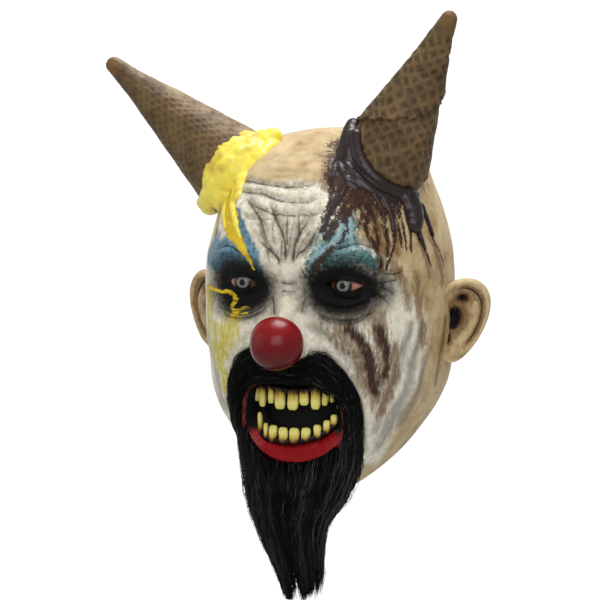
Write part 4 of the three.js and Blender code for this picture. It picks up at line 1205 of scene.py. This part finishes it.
def collarBeads(row, rimAt, side, other, axis):
    beads = []
    for turn in np.arange(*row["arc"], bead["collarStep"]):
        angle = math.radians(turn)
        outward = side * math.cos(angle) + other * math.sin(angle)
        for _ in range(2):
            wobble = draw.normal(0, bead["collarWobble"], 3) * row["lumpy"]
            size = row["collar"] * draw.uniform(0.9, 1.05)
            up = draw.uniform(-row["low"], row["low"] * 0.4)
            beads.append((rimAt + outward * (cone["radius"] - 1) + axis * up + wobble, size))
    return beads


def runBeads(row, run):
    if "along" in run:
        path = pathOnHead(run["along"], bead["pathSteps"])
    else:
        path = smoothPath(run["at"], bead["pathSteps"])
    sink = run.get("sink", row["sink"])
    spans = np.concatenate([[0], np.cumsum(np.linalg.norm(np.diff(path, axis=0), axis=1))])
    phase = draw.uniform(0, 6.28, 2)
    beads = []
    covered = 0.0
    while covered < spans[-1]:
        swell = 1 + 0.11 * math.sin(covered / 4.1 + phase[0]) + 0.06 * math.sin(covered / 1.9 + phase[1])
        swell = 1 if run.get("even") else swell
        size = (run["from"] + (run["to"] - run["from"]) * covered / spans[-1]) * swell
        place = np.array([np.interp(covered, spans, path[:, i]) for i in range(3)])
        outward = (place - heart) / np.linalg.norm(place - heart)
        wobble = draw.normal(0, bead["runWobble"], 3) * row["lumpy"] * size / 3
        beads.append((place - outward * size * sink + wobble, size))
        covered += bead["spacing"] * size
    return beads + [(path[-1] - outward * run["to"] * sink, run["to"])]


def fringeBeads(row, rimAt, axis):
    # ragged points where the melt has crept up the wafer
    beads = []
    brink = smoothPath(row["runs"][0]["at"], bead["pathSteps"])
    for _ in range(row["fringe"]):
        foot = brink[int(draw.integers(4, 150))]
        around = foot - rimAt - axis * ((foot - rimAt) @ axis)
        climb = axis - bead["fringeLean"] * around / np.linalg.norm(around)
        climb = climb * draw.uniform(*bead["fringeReach"])
        for share in np.linspace(0, 1, bead["fringeBeads"]):
            beads.append((foot + climb * share, bead["fringeSize"] * (1 - bead["fringeTaper"] * share)))
    return beads


def beadMesh(row):
    coneRow = coneRows[row["cone"]]
    rimAt, point = np.array(coneRow["rim"], float), np.array(coneRow["point"], float)
    side, other, axis = frameAlong(point - rimAt)
    beads = collarBeads(row, rimAt, side, other, axis)
    for run in row["runs"]:
        beads += runBeads(row, run)
    beads += fringeBeads(row, rimAt, axis)
    bm = bmesh.new()
    for place, size in beads:
        made = bmesh.ops.create_icosphere(bm, subdivisions=2, radius=size * mm)["verts"]
        bmesh.ops.translate(bm, verts=made, vec=place * mm)
    return meshFrom(bm, "beads")


def buildMelt(row, material):
    rough = beadMesh(row)
    holder = linkObject("beads", rough)
    remesh = holder.modifiers.new("run_together", "REMESH")
    remesh.mode = "VOXEL"
    remesh.voxel_size = row["voxel"] * mm
    soften = holder.modifiers.new("soften", "SMOOTH")
    soften.factor = 0.5
    soften.iterations = row["soften"]
    graph = bpy.context.evaluated_depsgraph_get()
    mesh = bpy.data.meshes.new_from_object(holder.evaluated_get(graph))
    mesh.name = row["name"]
    bpy.data.objects.remove(holder)
    bpy.data.meshes.remove(rough)
    dressPiece(row["name"], mesh, row["node"], material)


def chocolateMaterial():
    # gloss lacquer over dark brown latex: wet looking, near black, mottled with dark brown
    material, tree, shader = newMaterial("gloss_chocolate_coat", IOR=1.5, Roughness=0.33,
                                         Specular_IOR_Level=0.4)
    place = put(tree, "TexCoord").outputs["Object"]
    swirl = put(tree, "TexNoise", {"Vector": place, "Scale": 1 / 0.009, "Detail": 4.0, "Distortion": 0.8})
    tone = put(tree, "Mix", {0: swirl.outputs["Fac"], 6: linear("#100a0b"), 7: linear("#31201f")},
               data_type="RGBA")
    bump = put(tree, "Bump", {"Height": swirl.outputs["Fac"], "Strength": 0.5, "Distance": 1.2 * mm})
    tree.links.new(tone.outputs[2], shader.inputs["Base Color"])
    tree.links.new(bump.outputs[0], shader.inputs["Normal"])
    return material


def vanillaMaterial():
    # whipped foam latex in bright yellow, ochre where the wash has run down
    material, tree, shader = newMaterial("satin_vanilla_coat", IOR=1.48, Roughness=0.38,
                                         Subsurface_Weight=0.12, Subsurface_Scale=0.004)
    place = put(tree, "TexCoord").outputs["Object"]
    foam = put(tree, "TexNoise", {"Vector": place, "Scale": 1 / 0.011, "Detail": 5.0, "Roughness": 0.55})
    wash = put(tree, "TexNoise", {"Vector": place, "Scale": 1 / 0.02, "Detail": 4.0})
    bright = put(tree, "Mix", {0: foam.outputs["Fac"], 6: linear("#dcc42c"), 7: linear("#f7ec6a")},
                 data_type="RGBA")
    ochre = put(tree, "MapRange", {"Value": wash.outputs["Fac"], "From Min": 0.52, "From Max": 0.72,
                                   "To Max": 0.6})
    tone = put(tree, "Mix", {0: ochre.outputs[0], 6: bright.outputs[2], 7: linear("#a8791c")},
               data_type="RGBA")
    bump = put(tree, "Bump", {"Height": foam.outputs["Fac"], "Strength": 0.4, "Distance": 2.0 * mm})
    tree.links.new(tone.outputs[2], shader.inputs["Base Color"])
    tree.links.new(bump.outputs[0], shader.inputs["Normal"])
    return material


for row, material in zip(meltRows, (chocolateMaterial(), vanillaMaterial())):
    buildMelt(row, material)

# Nose: a slightly uneven ball, lacquered

nose = {"y": -147, "z": -158, "radius": 21.5, "fit": 0.985, "columns": 96, "rings": 64}


def noseMaterial():
    # dark red rubber under clear gloss, mottled where the paint was sponged on, and darker towards the bottom
    # as painted shade
    material, tree, shader = newMaterial("gloss_red_rubber", IOR=1.5, Roughness=0.27, Specular_IOR_Level=0.26)
    place = put(tree, "TexCoord").outputs["Object"]
    sponge = put(tree, "TexNoise", {"Vector": place, "Scale": 1 / 0.006, "Detail": 6.0, "Roughness": 0.65})
    # painted shade: the ball darkens towards its underside
    shade = put(tree, "SeparateXYZ", {"Vector": place})
    low = put(tree, "MapRange", {"Value": shade.outputs["Z"], "From Min": -0.182, "From Max": -0.145,
                                 "To Min": 0.85, "To Max": 0.0})
    bright = put(tree, "Mix", {0: sponge.outputs["Fac"], 6: linear("#5c060b"), 7: linear("#8f0c14")},
                 data_type="RGBA")
    tone = put(tree, "Mix", {0: low.outputs[0], 6: bright.outputs[2], 7: linear("#2b0508")}, data_type="RGBA")
    bump = put(tree, "Bump", {"Height": sponge.outputs["Fac"], "Strength": 0.25, "Distance": 0.6 * mm})
    tree.links.new(tone.outputs[2], shader.inputs["Base Color"])
    tree.links.new(bump.outputs[0], shader.inputs["Normal"])
    return material


def buildNose():
    bm = bmesh.new()
    bmesh.ops.create_uvsphere(bm, u_segments=nose["columns"], v_segments=nose["rings"], radius=1)
    for v in bm.verts:
        x, y, z = v.co
        dent = 1 + 0.012 * math.sin(3 * x + 1.4) * math.cos(4 * z) + 0.01 * math.sin(5 * y + 2 * z)
        v.co = Vector((x, y, z)) * (nose["radius"] * nose["fit"] * dent * mm)
        v.co += Vector((0, nose["y"], nose["z"])) * mm
    dressPiece("red_ball_nose", meshFrom(bm, "red_ball_nose"), "clown_nose", noseMaterial())


buildNose()

# Eyes: domes with a low cornea, iris rings painted by their distance from the pupil

eyeball = {"columns": 72, "rings": 48, "cornea": 0.9, "corneaWidth": 6.0, "lidShade": 0.75}


def eyeMaterial():
    # clear cast resin over a printed iris: pale grey ring, dark limbus, bloodshot white
    material, tree, shader = newMaterial("cast_resin_eye", IOR=1.49, Roughness=0.1, Coat_Weight=0.1,
                                         Coat_Roughness=0.05, Specular_IOR_Level=0.3)
    place = put(tree, "TexCoord").outputs["Object"]
    away = put(tree, "Attribute", attribute_name="away").outputs["Fac"]
    fine = put(tree, "TexNoise", {"Vector": place, "Scale": 1 / 0.0009, "Detail": 4.0, "Roughness": 0.7})
    shifted = put(tree, "MapRange", {"Value": fine.outputs["Fac"], "To Min": -0.025, "To Max": 0.025})
    at = put(tree, "Math", {0: away, 1: shifted.outputs[0]}, operation="ADD")
    rings = put(tree, "ValToRGB", {"Fac": at.outputs[0]}, stops=[
        (0.0, "#030303"), (0.12, "#050505"), (0.16, "#35342f"), (0.24, "#85837b"), (0.33, "#5f5d58"),
        (0.40, "#1a1614"), (0.50, "#0b0706"), (0.58, "#7d5347"), (0.75, "#a06a5a"), (1.0, "#5a2a22")])
    vein = put(tree, "TexNoise", {"Vector": place, "Scale": 1 / 0.004, "Detail": 6.0, "Distortion": 1.6})
    red = put(tree, "MapRange", {"Value": vein.outputs["Fac"], "From Min": 0.52, "From Max": 0.62,
                                 "To Max": 0.4})
    tone = put(tree, "Mix", {0: red.outputs[0], 6: rings.outputs["Color"], 7: linear("#8a2f25")},
               data_type="RGBA")
    keep = put(tree, "MapRange", {"Value": away, "From Min": 0.49, "From Max": 0.58})
    # the inner corner is dark red, the outer one pale pink
    outer = put(tree, "Attribute", attribute_name="outer").outputs["Fac"]
    corner = put(tree, "Mix", {0: outer, 6: linear("#2a0c0a"), 7: linear("#b88372")}, data_type="RGBA")
    flesh = put(tree, "Mix", {0: 0.6, 6: tone.outputs[2], 7: corner.outputs[2]}, data_type="RGBA")
    final = put(tree, "Mix", {0: keep.outputs[0], 6: rings.outputs["Color"], 7: flesh.outputs[2]},
                data_type="RGBA")
    # shade of the lids, painted along the top and bottom of the slit
    lid = put(tree, "Attribute", attribute_name="lid").outputs["Fac"]
    shaded = put(tree, "Mix", {0: lid, 6: final.outputs[2], 7: linear("#0a0505")}, data_type="RGBA")
    tree.links.new(shaded.outputs[2], shader.inputs["Base Color"])
    return material


def buildEye(side, material):
    bm = bmesh.new()
    bmesh.ops.create_uvsphere(bm, u_segments=eyeball["columns"], v_segments=eyeball["rings"], radius=1)
    bmesh.ops.bisect_plane(bm, geom=bm.verts[:] + bm.edges[:] + bm.faces[:], dist=1e-6, plane_co=(0, 0, 0.02),
                           plane_no=(0, 0, 1), clear_inner=True)
    bmesh.ops.holes_fill(bm, edges=[e for e in bm.edges if e.is_boundary], sides=0)
    fields = {"away": [], "outer": [], "lid": []}
    for v in bm.verts:
        x, y, z = v.co
        spread = math.hypot(x, y) * eye["radius"]
        cornea = eyeball["cornea"] * math.exp(-(spread / eyeball["corneaWidth"]) ** 2) * (z > 0.03)
        reach = eye["radius"] + cornea
        v.co = Vector((x * reach + eye["x"] * side, -z * reach + eye["y"], y * reach + eye["z"])) * mm
        height = y * eye["radius"]
        fields["away"].append(spread / eye["radius"])
        fields["outer"].append(min(1, max(0, 0.5 + 0.8 * x * side)))
        fields["lid"].append(eyeball["lidShade"] * min(1, max(0, height / 4.5 - 0.1, -height / 6 - 0.2)))
    bmesh.ops.recalc_face_normals(bm, faces=bm.faces)
    end = "left" if side > 0 else "right"
    mesh = meshFrom(bm, "resin_eye_" + end)
    for name, values in fields.items():
        setField(mesh, name, values)
    dressPiece("resin_eye_" + end, mesh, "eye_" + end, material)


resinEye = eyeMaterial()
for side in (-1, 1):
    buildEye(side, resinEye)

# Teeth: worn pegs on a dark gum bar

arch = {"y": -107, "sweep": 11, "half": 36, "thick": 6, "inGum": 3.0, "gumRadius": 3.4, "gumDeep": 1.15,
        "gumBack": 1.2, "gumShift": 0.2, "columns": 20, "rings": 16}
toothRows = {
    "upper_teeth": [
        # x, root, edge, width
        (-33.8, -198, -210.5, 4.7), (-28.5, -197.5, -214.5, 5.9), (-20, -198, -211, 5.4),
        (-11.7, -199, -215, 9.2), (-0.8, -200, -215, 9.5), (8.6, -199.5, -211, 7.8),
        (17.4, -197, -214, 8.1), (24.2, -196.5, -211, 5.6), (29.5, -195.5, -208.5, 3.8)],
    "lower_teeth": [
        (-31.5, -234.5, -219, 3.8), (-25.3, -238.5, -227, 3.8), (-17.8, -239.5, -228, 7.4),
        (-9, -240, -229, 8.1), (0.6, -239.5, -229, 8.7), (10.2, -237.5, -228.5, 8.1),
        (18.6, -235, -226, 6.5), (25.9, -231, -222.5, 5.9), (31, -225.5, -218, 5.6)],
}


def toothMaterial():
    # stained cast resin: yellow enamel, brown at the roots, black-brown gum
    material, tree, shader = newMaterial("stained_tooth_resin", IOR=1.52, Roughness=0.3,
                                         Specular_IOR_Level=0.22)
    place = put(tree, "TexCoord").outputs["Object"]
    root = put(tree, "Attribute", attribute_name="root").outputs["Fac"]
    lines = put(tree, "Mapping", {"Vector": place, "Scale": (1, 1, 0.25)})
    streak = put(tree, "TexNoise", {"Vector": lines.outputs[0], "Scale": 1 / 0.0018, "Detail": 4.0,
                                    "Roughness": 0.6})
    shifted = put(tree, "MapRange", {"Value": streak.outputs["Fac"], "To Min": -0.22, "To Max": 0.22})
    at = put(tree, "Math", {0: root, 1: shifted.outputs[0]}, operation="ADD")
    tone = put(tree, "ValToRGB", {"Fac": at.outputs[0]}, stops=[
        (0.0, "#d0c662"), (0.3, "#e0d780"), (0.54, "#c4ac4c"), (0.7, "#6b4515"), (0.82, "#261409"),
        (1.0, "#0b0303")])
    bump = put(tree, "Bump", {"Height": streak.outputs["Fac"], "Strength": 0.3, "Distance": 0.4 * mm})
    tree.links.new(tone.outputs["Color"], shader.inputs["Base Color"])
    tree.links.new(bump.outputs[0], shader.inputs["Normal"])
    return material


def archDepth(x):
    return arch["y"] + arch["sweep"] * (x / arch["half"]) ** 2


def buildTeeth(name, rows, material):
    bm = bmesh.new()
    layer = bm.verts.layers.float.new("root")
    isUpper = rows[0][1] > rows[0][2]
    over = arch["inGum"] if isUpper else -arch["inGum"]
    for x, rootZ, edgeZ, width in rows:
        ball = bmesh.ops.create_uvsphere(bm, u_segments=arch["columns"], v_segments=arch["rings"], radius=1)
        lean = draw.normal(0, 0.05)
        for v in ball["verts"]:
            # rounded box, narrower at the root and worn at the edge
            a, b, c = (math.copysign(abs(k) ** power, k) for k, power in zip(v.co, (0.42, 0.6, 0.5)))
            share = (c + 1) / 2
            z = edgeZ + (rootZ + over - edgeZ) * share
            grow = 1.0 - 0.18 * share - 0.1 * max(0, 0.25 - share) / 0.25
            px = x + a * width / 2 * grow + lean * (z - edgeZ)
            belly = 0.6 * (1 - a * a) * (1 - share)
            py = archDepth(x) + b * arch["thick"] / 2 * (0.75 + 0.25 * share) - belly
            v.co = Vector((px, py, z)) * mm
            v[layer] = share * 0.92
    roots = smoothPath([(x, 0, root) for x, root, edge, width in rows], 48)
    shift = arch["gumShift"] if isUpper else -arch["gumShift"]
    for px, pz in [(-36, roots[0][2])] + [(p[0], p[2]) for p in roots] + [(35, roots[-1][2])]:
        made = bmesh.ops.create_icosphere(bm, subdivisions=2, radius=arch["gumRadius"] * mm)["verts"]
        bmesh.ops.scale(bm, verts=made, vec=(1, arch["gumDeep"], 1))
        place = Vector((px, archDepth(px) + arch["gumBack"], pz + shift))
        bmesh.ops.translate(bm, verts=made, vec=place * mm)
        for v in made:
            v[layer] = 1.25
    bmesh.ops.recalc_face_normals(bm, faces=bm.faces)
    dressPiece("stained_" + name, meshFrom(bm, "stained_" + name), name, material)


toothResin = toothMaterial()
for name, rows in toothRows.items():
    buildTeeth(name, rows, toothResin)

# Hair: strands in locks laid over a dark core

beardRows = np.array([
    # z, x, y, half width, thickness
    (-236, 3, -92, 52, 28), (-250, 4, -94, 50, 32), (-266, 4, -97, 46, 32), (-287, 1, -102, 39, 24),
    (-304, -2, -105, 29.5, 18), (-325, 1, -106, 23.5, 13), (-346, 5, -105, 18.5, 9), (-358, 6, -104, 16, 7),
    (-368, 5, -104, 13, 5),
], float)[::-1]


def hairMaterial():
    # matt black crepe hair; a few fibres are coloured pale grey, painted highlights where strands catch the
    # light
    material, tree, shader = newMaterial("black_crepe_hair", IOR=1.54, Roughness=0.45,
                                         Specular_IOR_Level=0.12)
    tint = put(tree, "Attribute", attribute_name="tint").outputs["Fac"]
    tone = put(tree, "ValToRGB", {"Fac": tint}, stops=[(0.0, "#030303"), (0.9, "#080808"), (1.0, "#504f52")])
    tree.links.new(tone.outputs["Color"], shader.inputs["Base Color"])
    return material


def frontDepth(x, z):
    wide, ahead, behind, middle, boxy = sectionAt(z).T
    inner = np.clip(1 - (np.abs(x) / np.sqrt(np.maximum(wide, 0.01))) ** boxy, 0, 1)
    y = middle - np.sqrt(np.maximum(ahead, 0.01)) * inner ** (1 / boxy)
    points = np.stack([x, y, z], 1)
    directions = points - heart
    plain = np.linalg.norm(directions, axis=1)
    directions /= plain[:, None]
    return heart + directions * (plain + np.maximum(faceRise(directions, plain, False), 0))[:, None]


def strandMesh(name, paths, radii, tints):
    count, steps, _ = paths.shape
    along = np.gradient(paths, axis=1)
    along /= np.linalg.norm(along, axis=2, keepdims=True) + 1e-9
    side = np.cross(along, np.array([0.0, -1.0, 0.15]))
    side /= np.linalg.norm(side, axis=2, keepdims=True) + 1e-9
    up = np.cross(side, along)
    rings = []
    for k in range(3):
        angle = 2 * math.pi * k / 3 + math.pi / 2
        rings.append(paths + (side * math.cos(angle) + up * math.sin(angle)) * radii[:, :, None])
    verts = np.stack(rings, 2).reshape(-1, 3) * mm
    base = np.arange(count)[:, None, None] * steps * 3
    row = np.arange(steps - 1)[None, :, None] * 3
    k = np.arange(3)[None, None, :]
    after = (k + 1) % 3
    foot = base + row
    quads = np.stack([foot + k, foot + 3 + k, foot + 3 + after, foot + after], -1).reshape(-1, 4)
    ends = np.arange(count)[:, None] * steps * 3
    caps = np.concatenate([ends + np.array([0, 1, 2]), ends + (steps - 1) * 3 + np.array([2, 1, 0])])
    mesh = bpy.data.meshes.new(name)
    mesh.vertices.add(len(verts))
    mesh.vertices.foreach_set("co", verts.ravel())
    corners = np.concatenate([quads.ravel(), caps.ravel()]).astype(np.int32)
    mesh.loops.add(len(corners))
    mesh.loops.foreach_set("vertex_index", corners)
    totals = np.concatenate([np.full(len(quads), 4), np.full(len(caps), 3)])
    mesh.polygons.add(len(totals))
    mesh.polygons.foreach_set("loop_start", np.concatenate([[0], np.cumsum(totals)[:-1]]).astype(np.int32))
    mesh.update(calc_edges=True)
    mesh.validate()
    setField(mesh, "tint", np.repeat(tints, steps * 3))
    return mesh


beardHair = {"locks": 44, "half": 52, "lowest": -366.5, "shortest": 22, "gather": 0.6, "shortLocks": 0.4,
             "tint": 2.5}
lockTips = np.array([
    # x, height of the longest strands
    (-30, -318), (-22, -334), (-14, -352), (-9, -367), (-6, -365), (-2, -353), (3, -352), (9, -360),
    (13, -355), (17, -353), (23, -353), (30, -346),
], float)


def beardPaths(count, steps, inner, frizz):
    lockCount = beardHair["locks"]
    lockAt = np.sort(draw.uniform(-1.02, 1.02, lockCount))
    isLong = draw.uniform(0, 1, lockCount) < 1 - beardHair["shortLocks"]
    lockTip = np.interp(4 + 20 * lockAt, *lockTips.T) + np.where(isLong, 0, draw.uniform(4, 40, lockCount))
    lockDepth = draw.uniform(0.9, 1.03, lockCount)
    across = draw.uniform(-1, 1, count)
    lock = np.abs(across[:, None] - lockAt[None, :]).argmin(1)
    x0 = beardHair["half"] * across
    # roots lie in a band below the lip
    top = -221 - 29 * np.sqrt(np.clip(1 - ((x0 - 0.5) / 40) ** 2, 0, 1))
    z0 = top - 30 * draw.uniform(0, 1, count) ** 1.2 * (1 - 0.3 * np.abs(across))
    wide = np.sqrt(np.maximum(sectionAt(z0)[:, 0], 1))
    roots = frontDepth(np.clip(x0, -0.76 * wide, 0.76 * wide), z0)
    tip = np.maximum(lockTip[lock] + draw.normal(0, 5, count), beardHair["lowest"])
    tip = np.minimum(tip, z0 - beardHair["shortest"])
    t = np.linspace(0, 1, steps)[None, :]
    z = z0[:, None] + (tip - z0)[:, None] * t
    form = smoothTable(beardRows[:, 0], beardRows[:, 1:], z.ravel()).reshape(count, steps, 4)
    gather = beardHair["gather"] * smoothstep(t, 0.25, 1.0)
    drift = across[:, None] + (lockAt[lock] - across)[:, None] * gather
    drift = np.clip(drift * (1 + 0.12 * t), -1.03, 1.03)
    depth = draw.uniform(0.55, 0.9, count) if inner else draw.uniform(0.9, 1.03, count) * lockDepth[lock]
    bulge = np.sqrt(np.clip(1.08 - drift ** 2, 0.0, 1))
    wave = draw.uniform(0, 6.28, (count, 1))
    bend = frizz * draw.uniform(0.3, 1.5, (count, 1)) * np.sin(wave + draw.uniform(7, 18, (count, 1)) * t)
    x = form[:, :, 0] + form[:, :, 2] * drift * (0.97 if inner else 1.0) + bend
    y = form[:, :, 1] - form[:, :, 3] * depth[:, None] * bulge + 0.8 * np.cos(wave + 8 * t)
    hung = np.stack([x, y, z], 2)
    leave = smoothstep(t, 0.0, 0.28)[:, :, None]
    fromSkin = np.stack([roots[:, None, 0] + 0 * z, roots[:, None, 1] - 1.5 + 0 * z, z], 2)
    paths = fromSkin * (1 - leave) + hung * leave
    # strands by the lip start on its rim, a little below where they show
    paths[:, 0] += (0, 4, -5)
    return paths


def hairRadii(count, steps, thick):
    t = np.linspace(0, 1, steps)[None, :]
    return draw.uniform(0.75, 1.25, (count, 1)) * thick * (1 - 0.75 * smoothstep(t, 0.55, 1.0))


beardCore = {"columns": 64, "rings": 60, "top": -258, "long": 88, "squeeze": 0.74}


def coreMesh(name):
    bm = bmesh.new()
    bmesh.ops.create_uvsphere(bm, u_segments=beardCore["columns"], v_segments=beardCore["rings"], radius=1)
    for v in bm.verts:
        share = (1 - v.co.z) / 2
        z = beardCore["top"] - beardCore["long"] * share
        x0, y0, half, thick = smoothTable(beardRows[:, 0], beardRows[:, 1:], np.array([z]))[0]
        flat = math.hypot(v.co.x, v.co.y) + 1e-9
        ripple = 1 + 0.03 * math.sin(11 * math.atan2(v.co.y, v.co.x) + 6 * share)
        close = min(1, flat * 1.6) * beardCore["squeeze"] * ripple / flat
        v.co = Vector((x0 + half * close * v.co.x, y0 + thick * close * v.co.y, z)) * mm
    mesh = meshFrom(bm, name)
    setField(mesh, "tint", np.zeros(len(mesh.vertices)))
    return mesh


crepeHair = hairMaterial()
# the stray hairs are all tinted pale grey: painted highlights on the black beard
strandRows = [
    # name, strands, steps, inner layer, waviness, thickness, palest tint
    ("beard_locks", 2900, 11, False, 1.0, 0.4, 0.0),
    ("beard_under_locks", 1700, 9, True, 1.0, 0.4, 0.0),
    ("beard_stray_hairs", 620, 14, False, 2.6, 0.24, 0.93),
]
for name, count, strandSteps, inner, frizz, thick, pale in strandRows:
    paths = beardPaths(count, strandSteps, inner, frizz)
    tints = pale + (1 - pale) * draw.uniform(0, 1, count) ** beardHair["tint"]
    mesh = strandMesh(name, paths, hairRadii(count, strandSteps, thick), tints)
    dressPiece(name, mesh, "beard", crepeHair)
dressPiece("beard_backing", coreMesh("beard_backing"), "beard", crepeHair)


moustacheHair = {"strands": 2200, "steps": 6, "thick": 0.34, "length": (14, 27), "starts": (-0.12, 0.84),
                 "lift": (1.0, 6.0), "fall": 4.0, "stray": 0.16, "strayOut": 0.4, "draw": 0.15}


def moustachePaths(rows):
    count = moustacheHair["strands"]
    line = smoothPath(rows, 200)
    side = np.sign(line[-1, 0])
    spans = np.concatenate([[0], np.cumsum(np.linalg.norm(np.diff(line, axis=0), axis=1))])
    start = draw.uniform(*moustacheHair["starts"], count) * spans[-1]
    length = draw.uniform(*moustacheHair["length"], count)
    offset = draw.uniform(-1, 1, count)
    t = np.linspace(0, 1, moustacheHair["steps"])[None, :]
    reach = start[:, None] + length[:, None] * t
    s = np.clip(reach, 0, spans[-1])
    extra = reach - s
    x = np.abs(np.interp(s, spans, line[:, 0])) + np.minimum(extra, 0)
    z = np.interp(s, spans, line[:, 2]) - np.maximum(extra, 0)
    ahead = np.abs(np.interp(s + 1, spans, line[:, 0])) - np.abs(np.interp(s - 1, spans, line[:, 0]))
    rising = np.interp(s + 1, spans, line[:, 2]) - np.interp(s - 1, spans, line[:, 2])
    norm = np.hypot(ahead, rising) + 1e-6
    width = np.interp(s, spans, line[:, 1])
    fall = moustacheHair["fall"] * t * draw.uniform(0, 1, (count, 1)) * (1 - s / spans[-1])
    # most strands draw in towards the lock, a few stand away from it
    isStray = draw.uniform(0, 1, count) < moustacheHair["stray"]
    flare = np.where(isStray, moustacheHair["strayOut"], 0.0)[:, None] - moustacheHair["draw"]
    cross = offset[:, None] * width * (1 + flare * t)
    x = x - rising / norm * cross
    z = z + ahead / norm * cross - fall
    wave = draw.uniform(0, 6.28, (count, 1))
    x = x + 0.6 * np.sin(wave + 8 * t)
    z = np.minimum(z, wingTop(x))
    places = frontDepth((x * side).ravel(), z.ravel()).reshape(count, -1, 3)
    lift = draw.uniform(*moustacheHair["lift"], (count, 1)) * (1 - 0.75 * offset[:, None] ** 2)
    places[:, :, 1] -= 0.4 + lift * np.sin(math.pi * (0.08 + 0.8 * t))
    return places


paths = np.concatenate([moustachePaths(rows) for rows in moustacheRows])
radii = hairRadii(len(paths), moustacheHair["steps"], moustacheHair["thick"])
tints = draw.uniform(0, 1, len(paths)) ** beardHair["tint"]
mesh = strandMesh("moustache_locks", paths, radii, tints)
dressPiece("moustache_locks", mesh, "moustache", crepeHair)

bpy.context.view_layer.update()
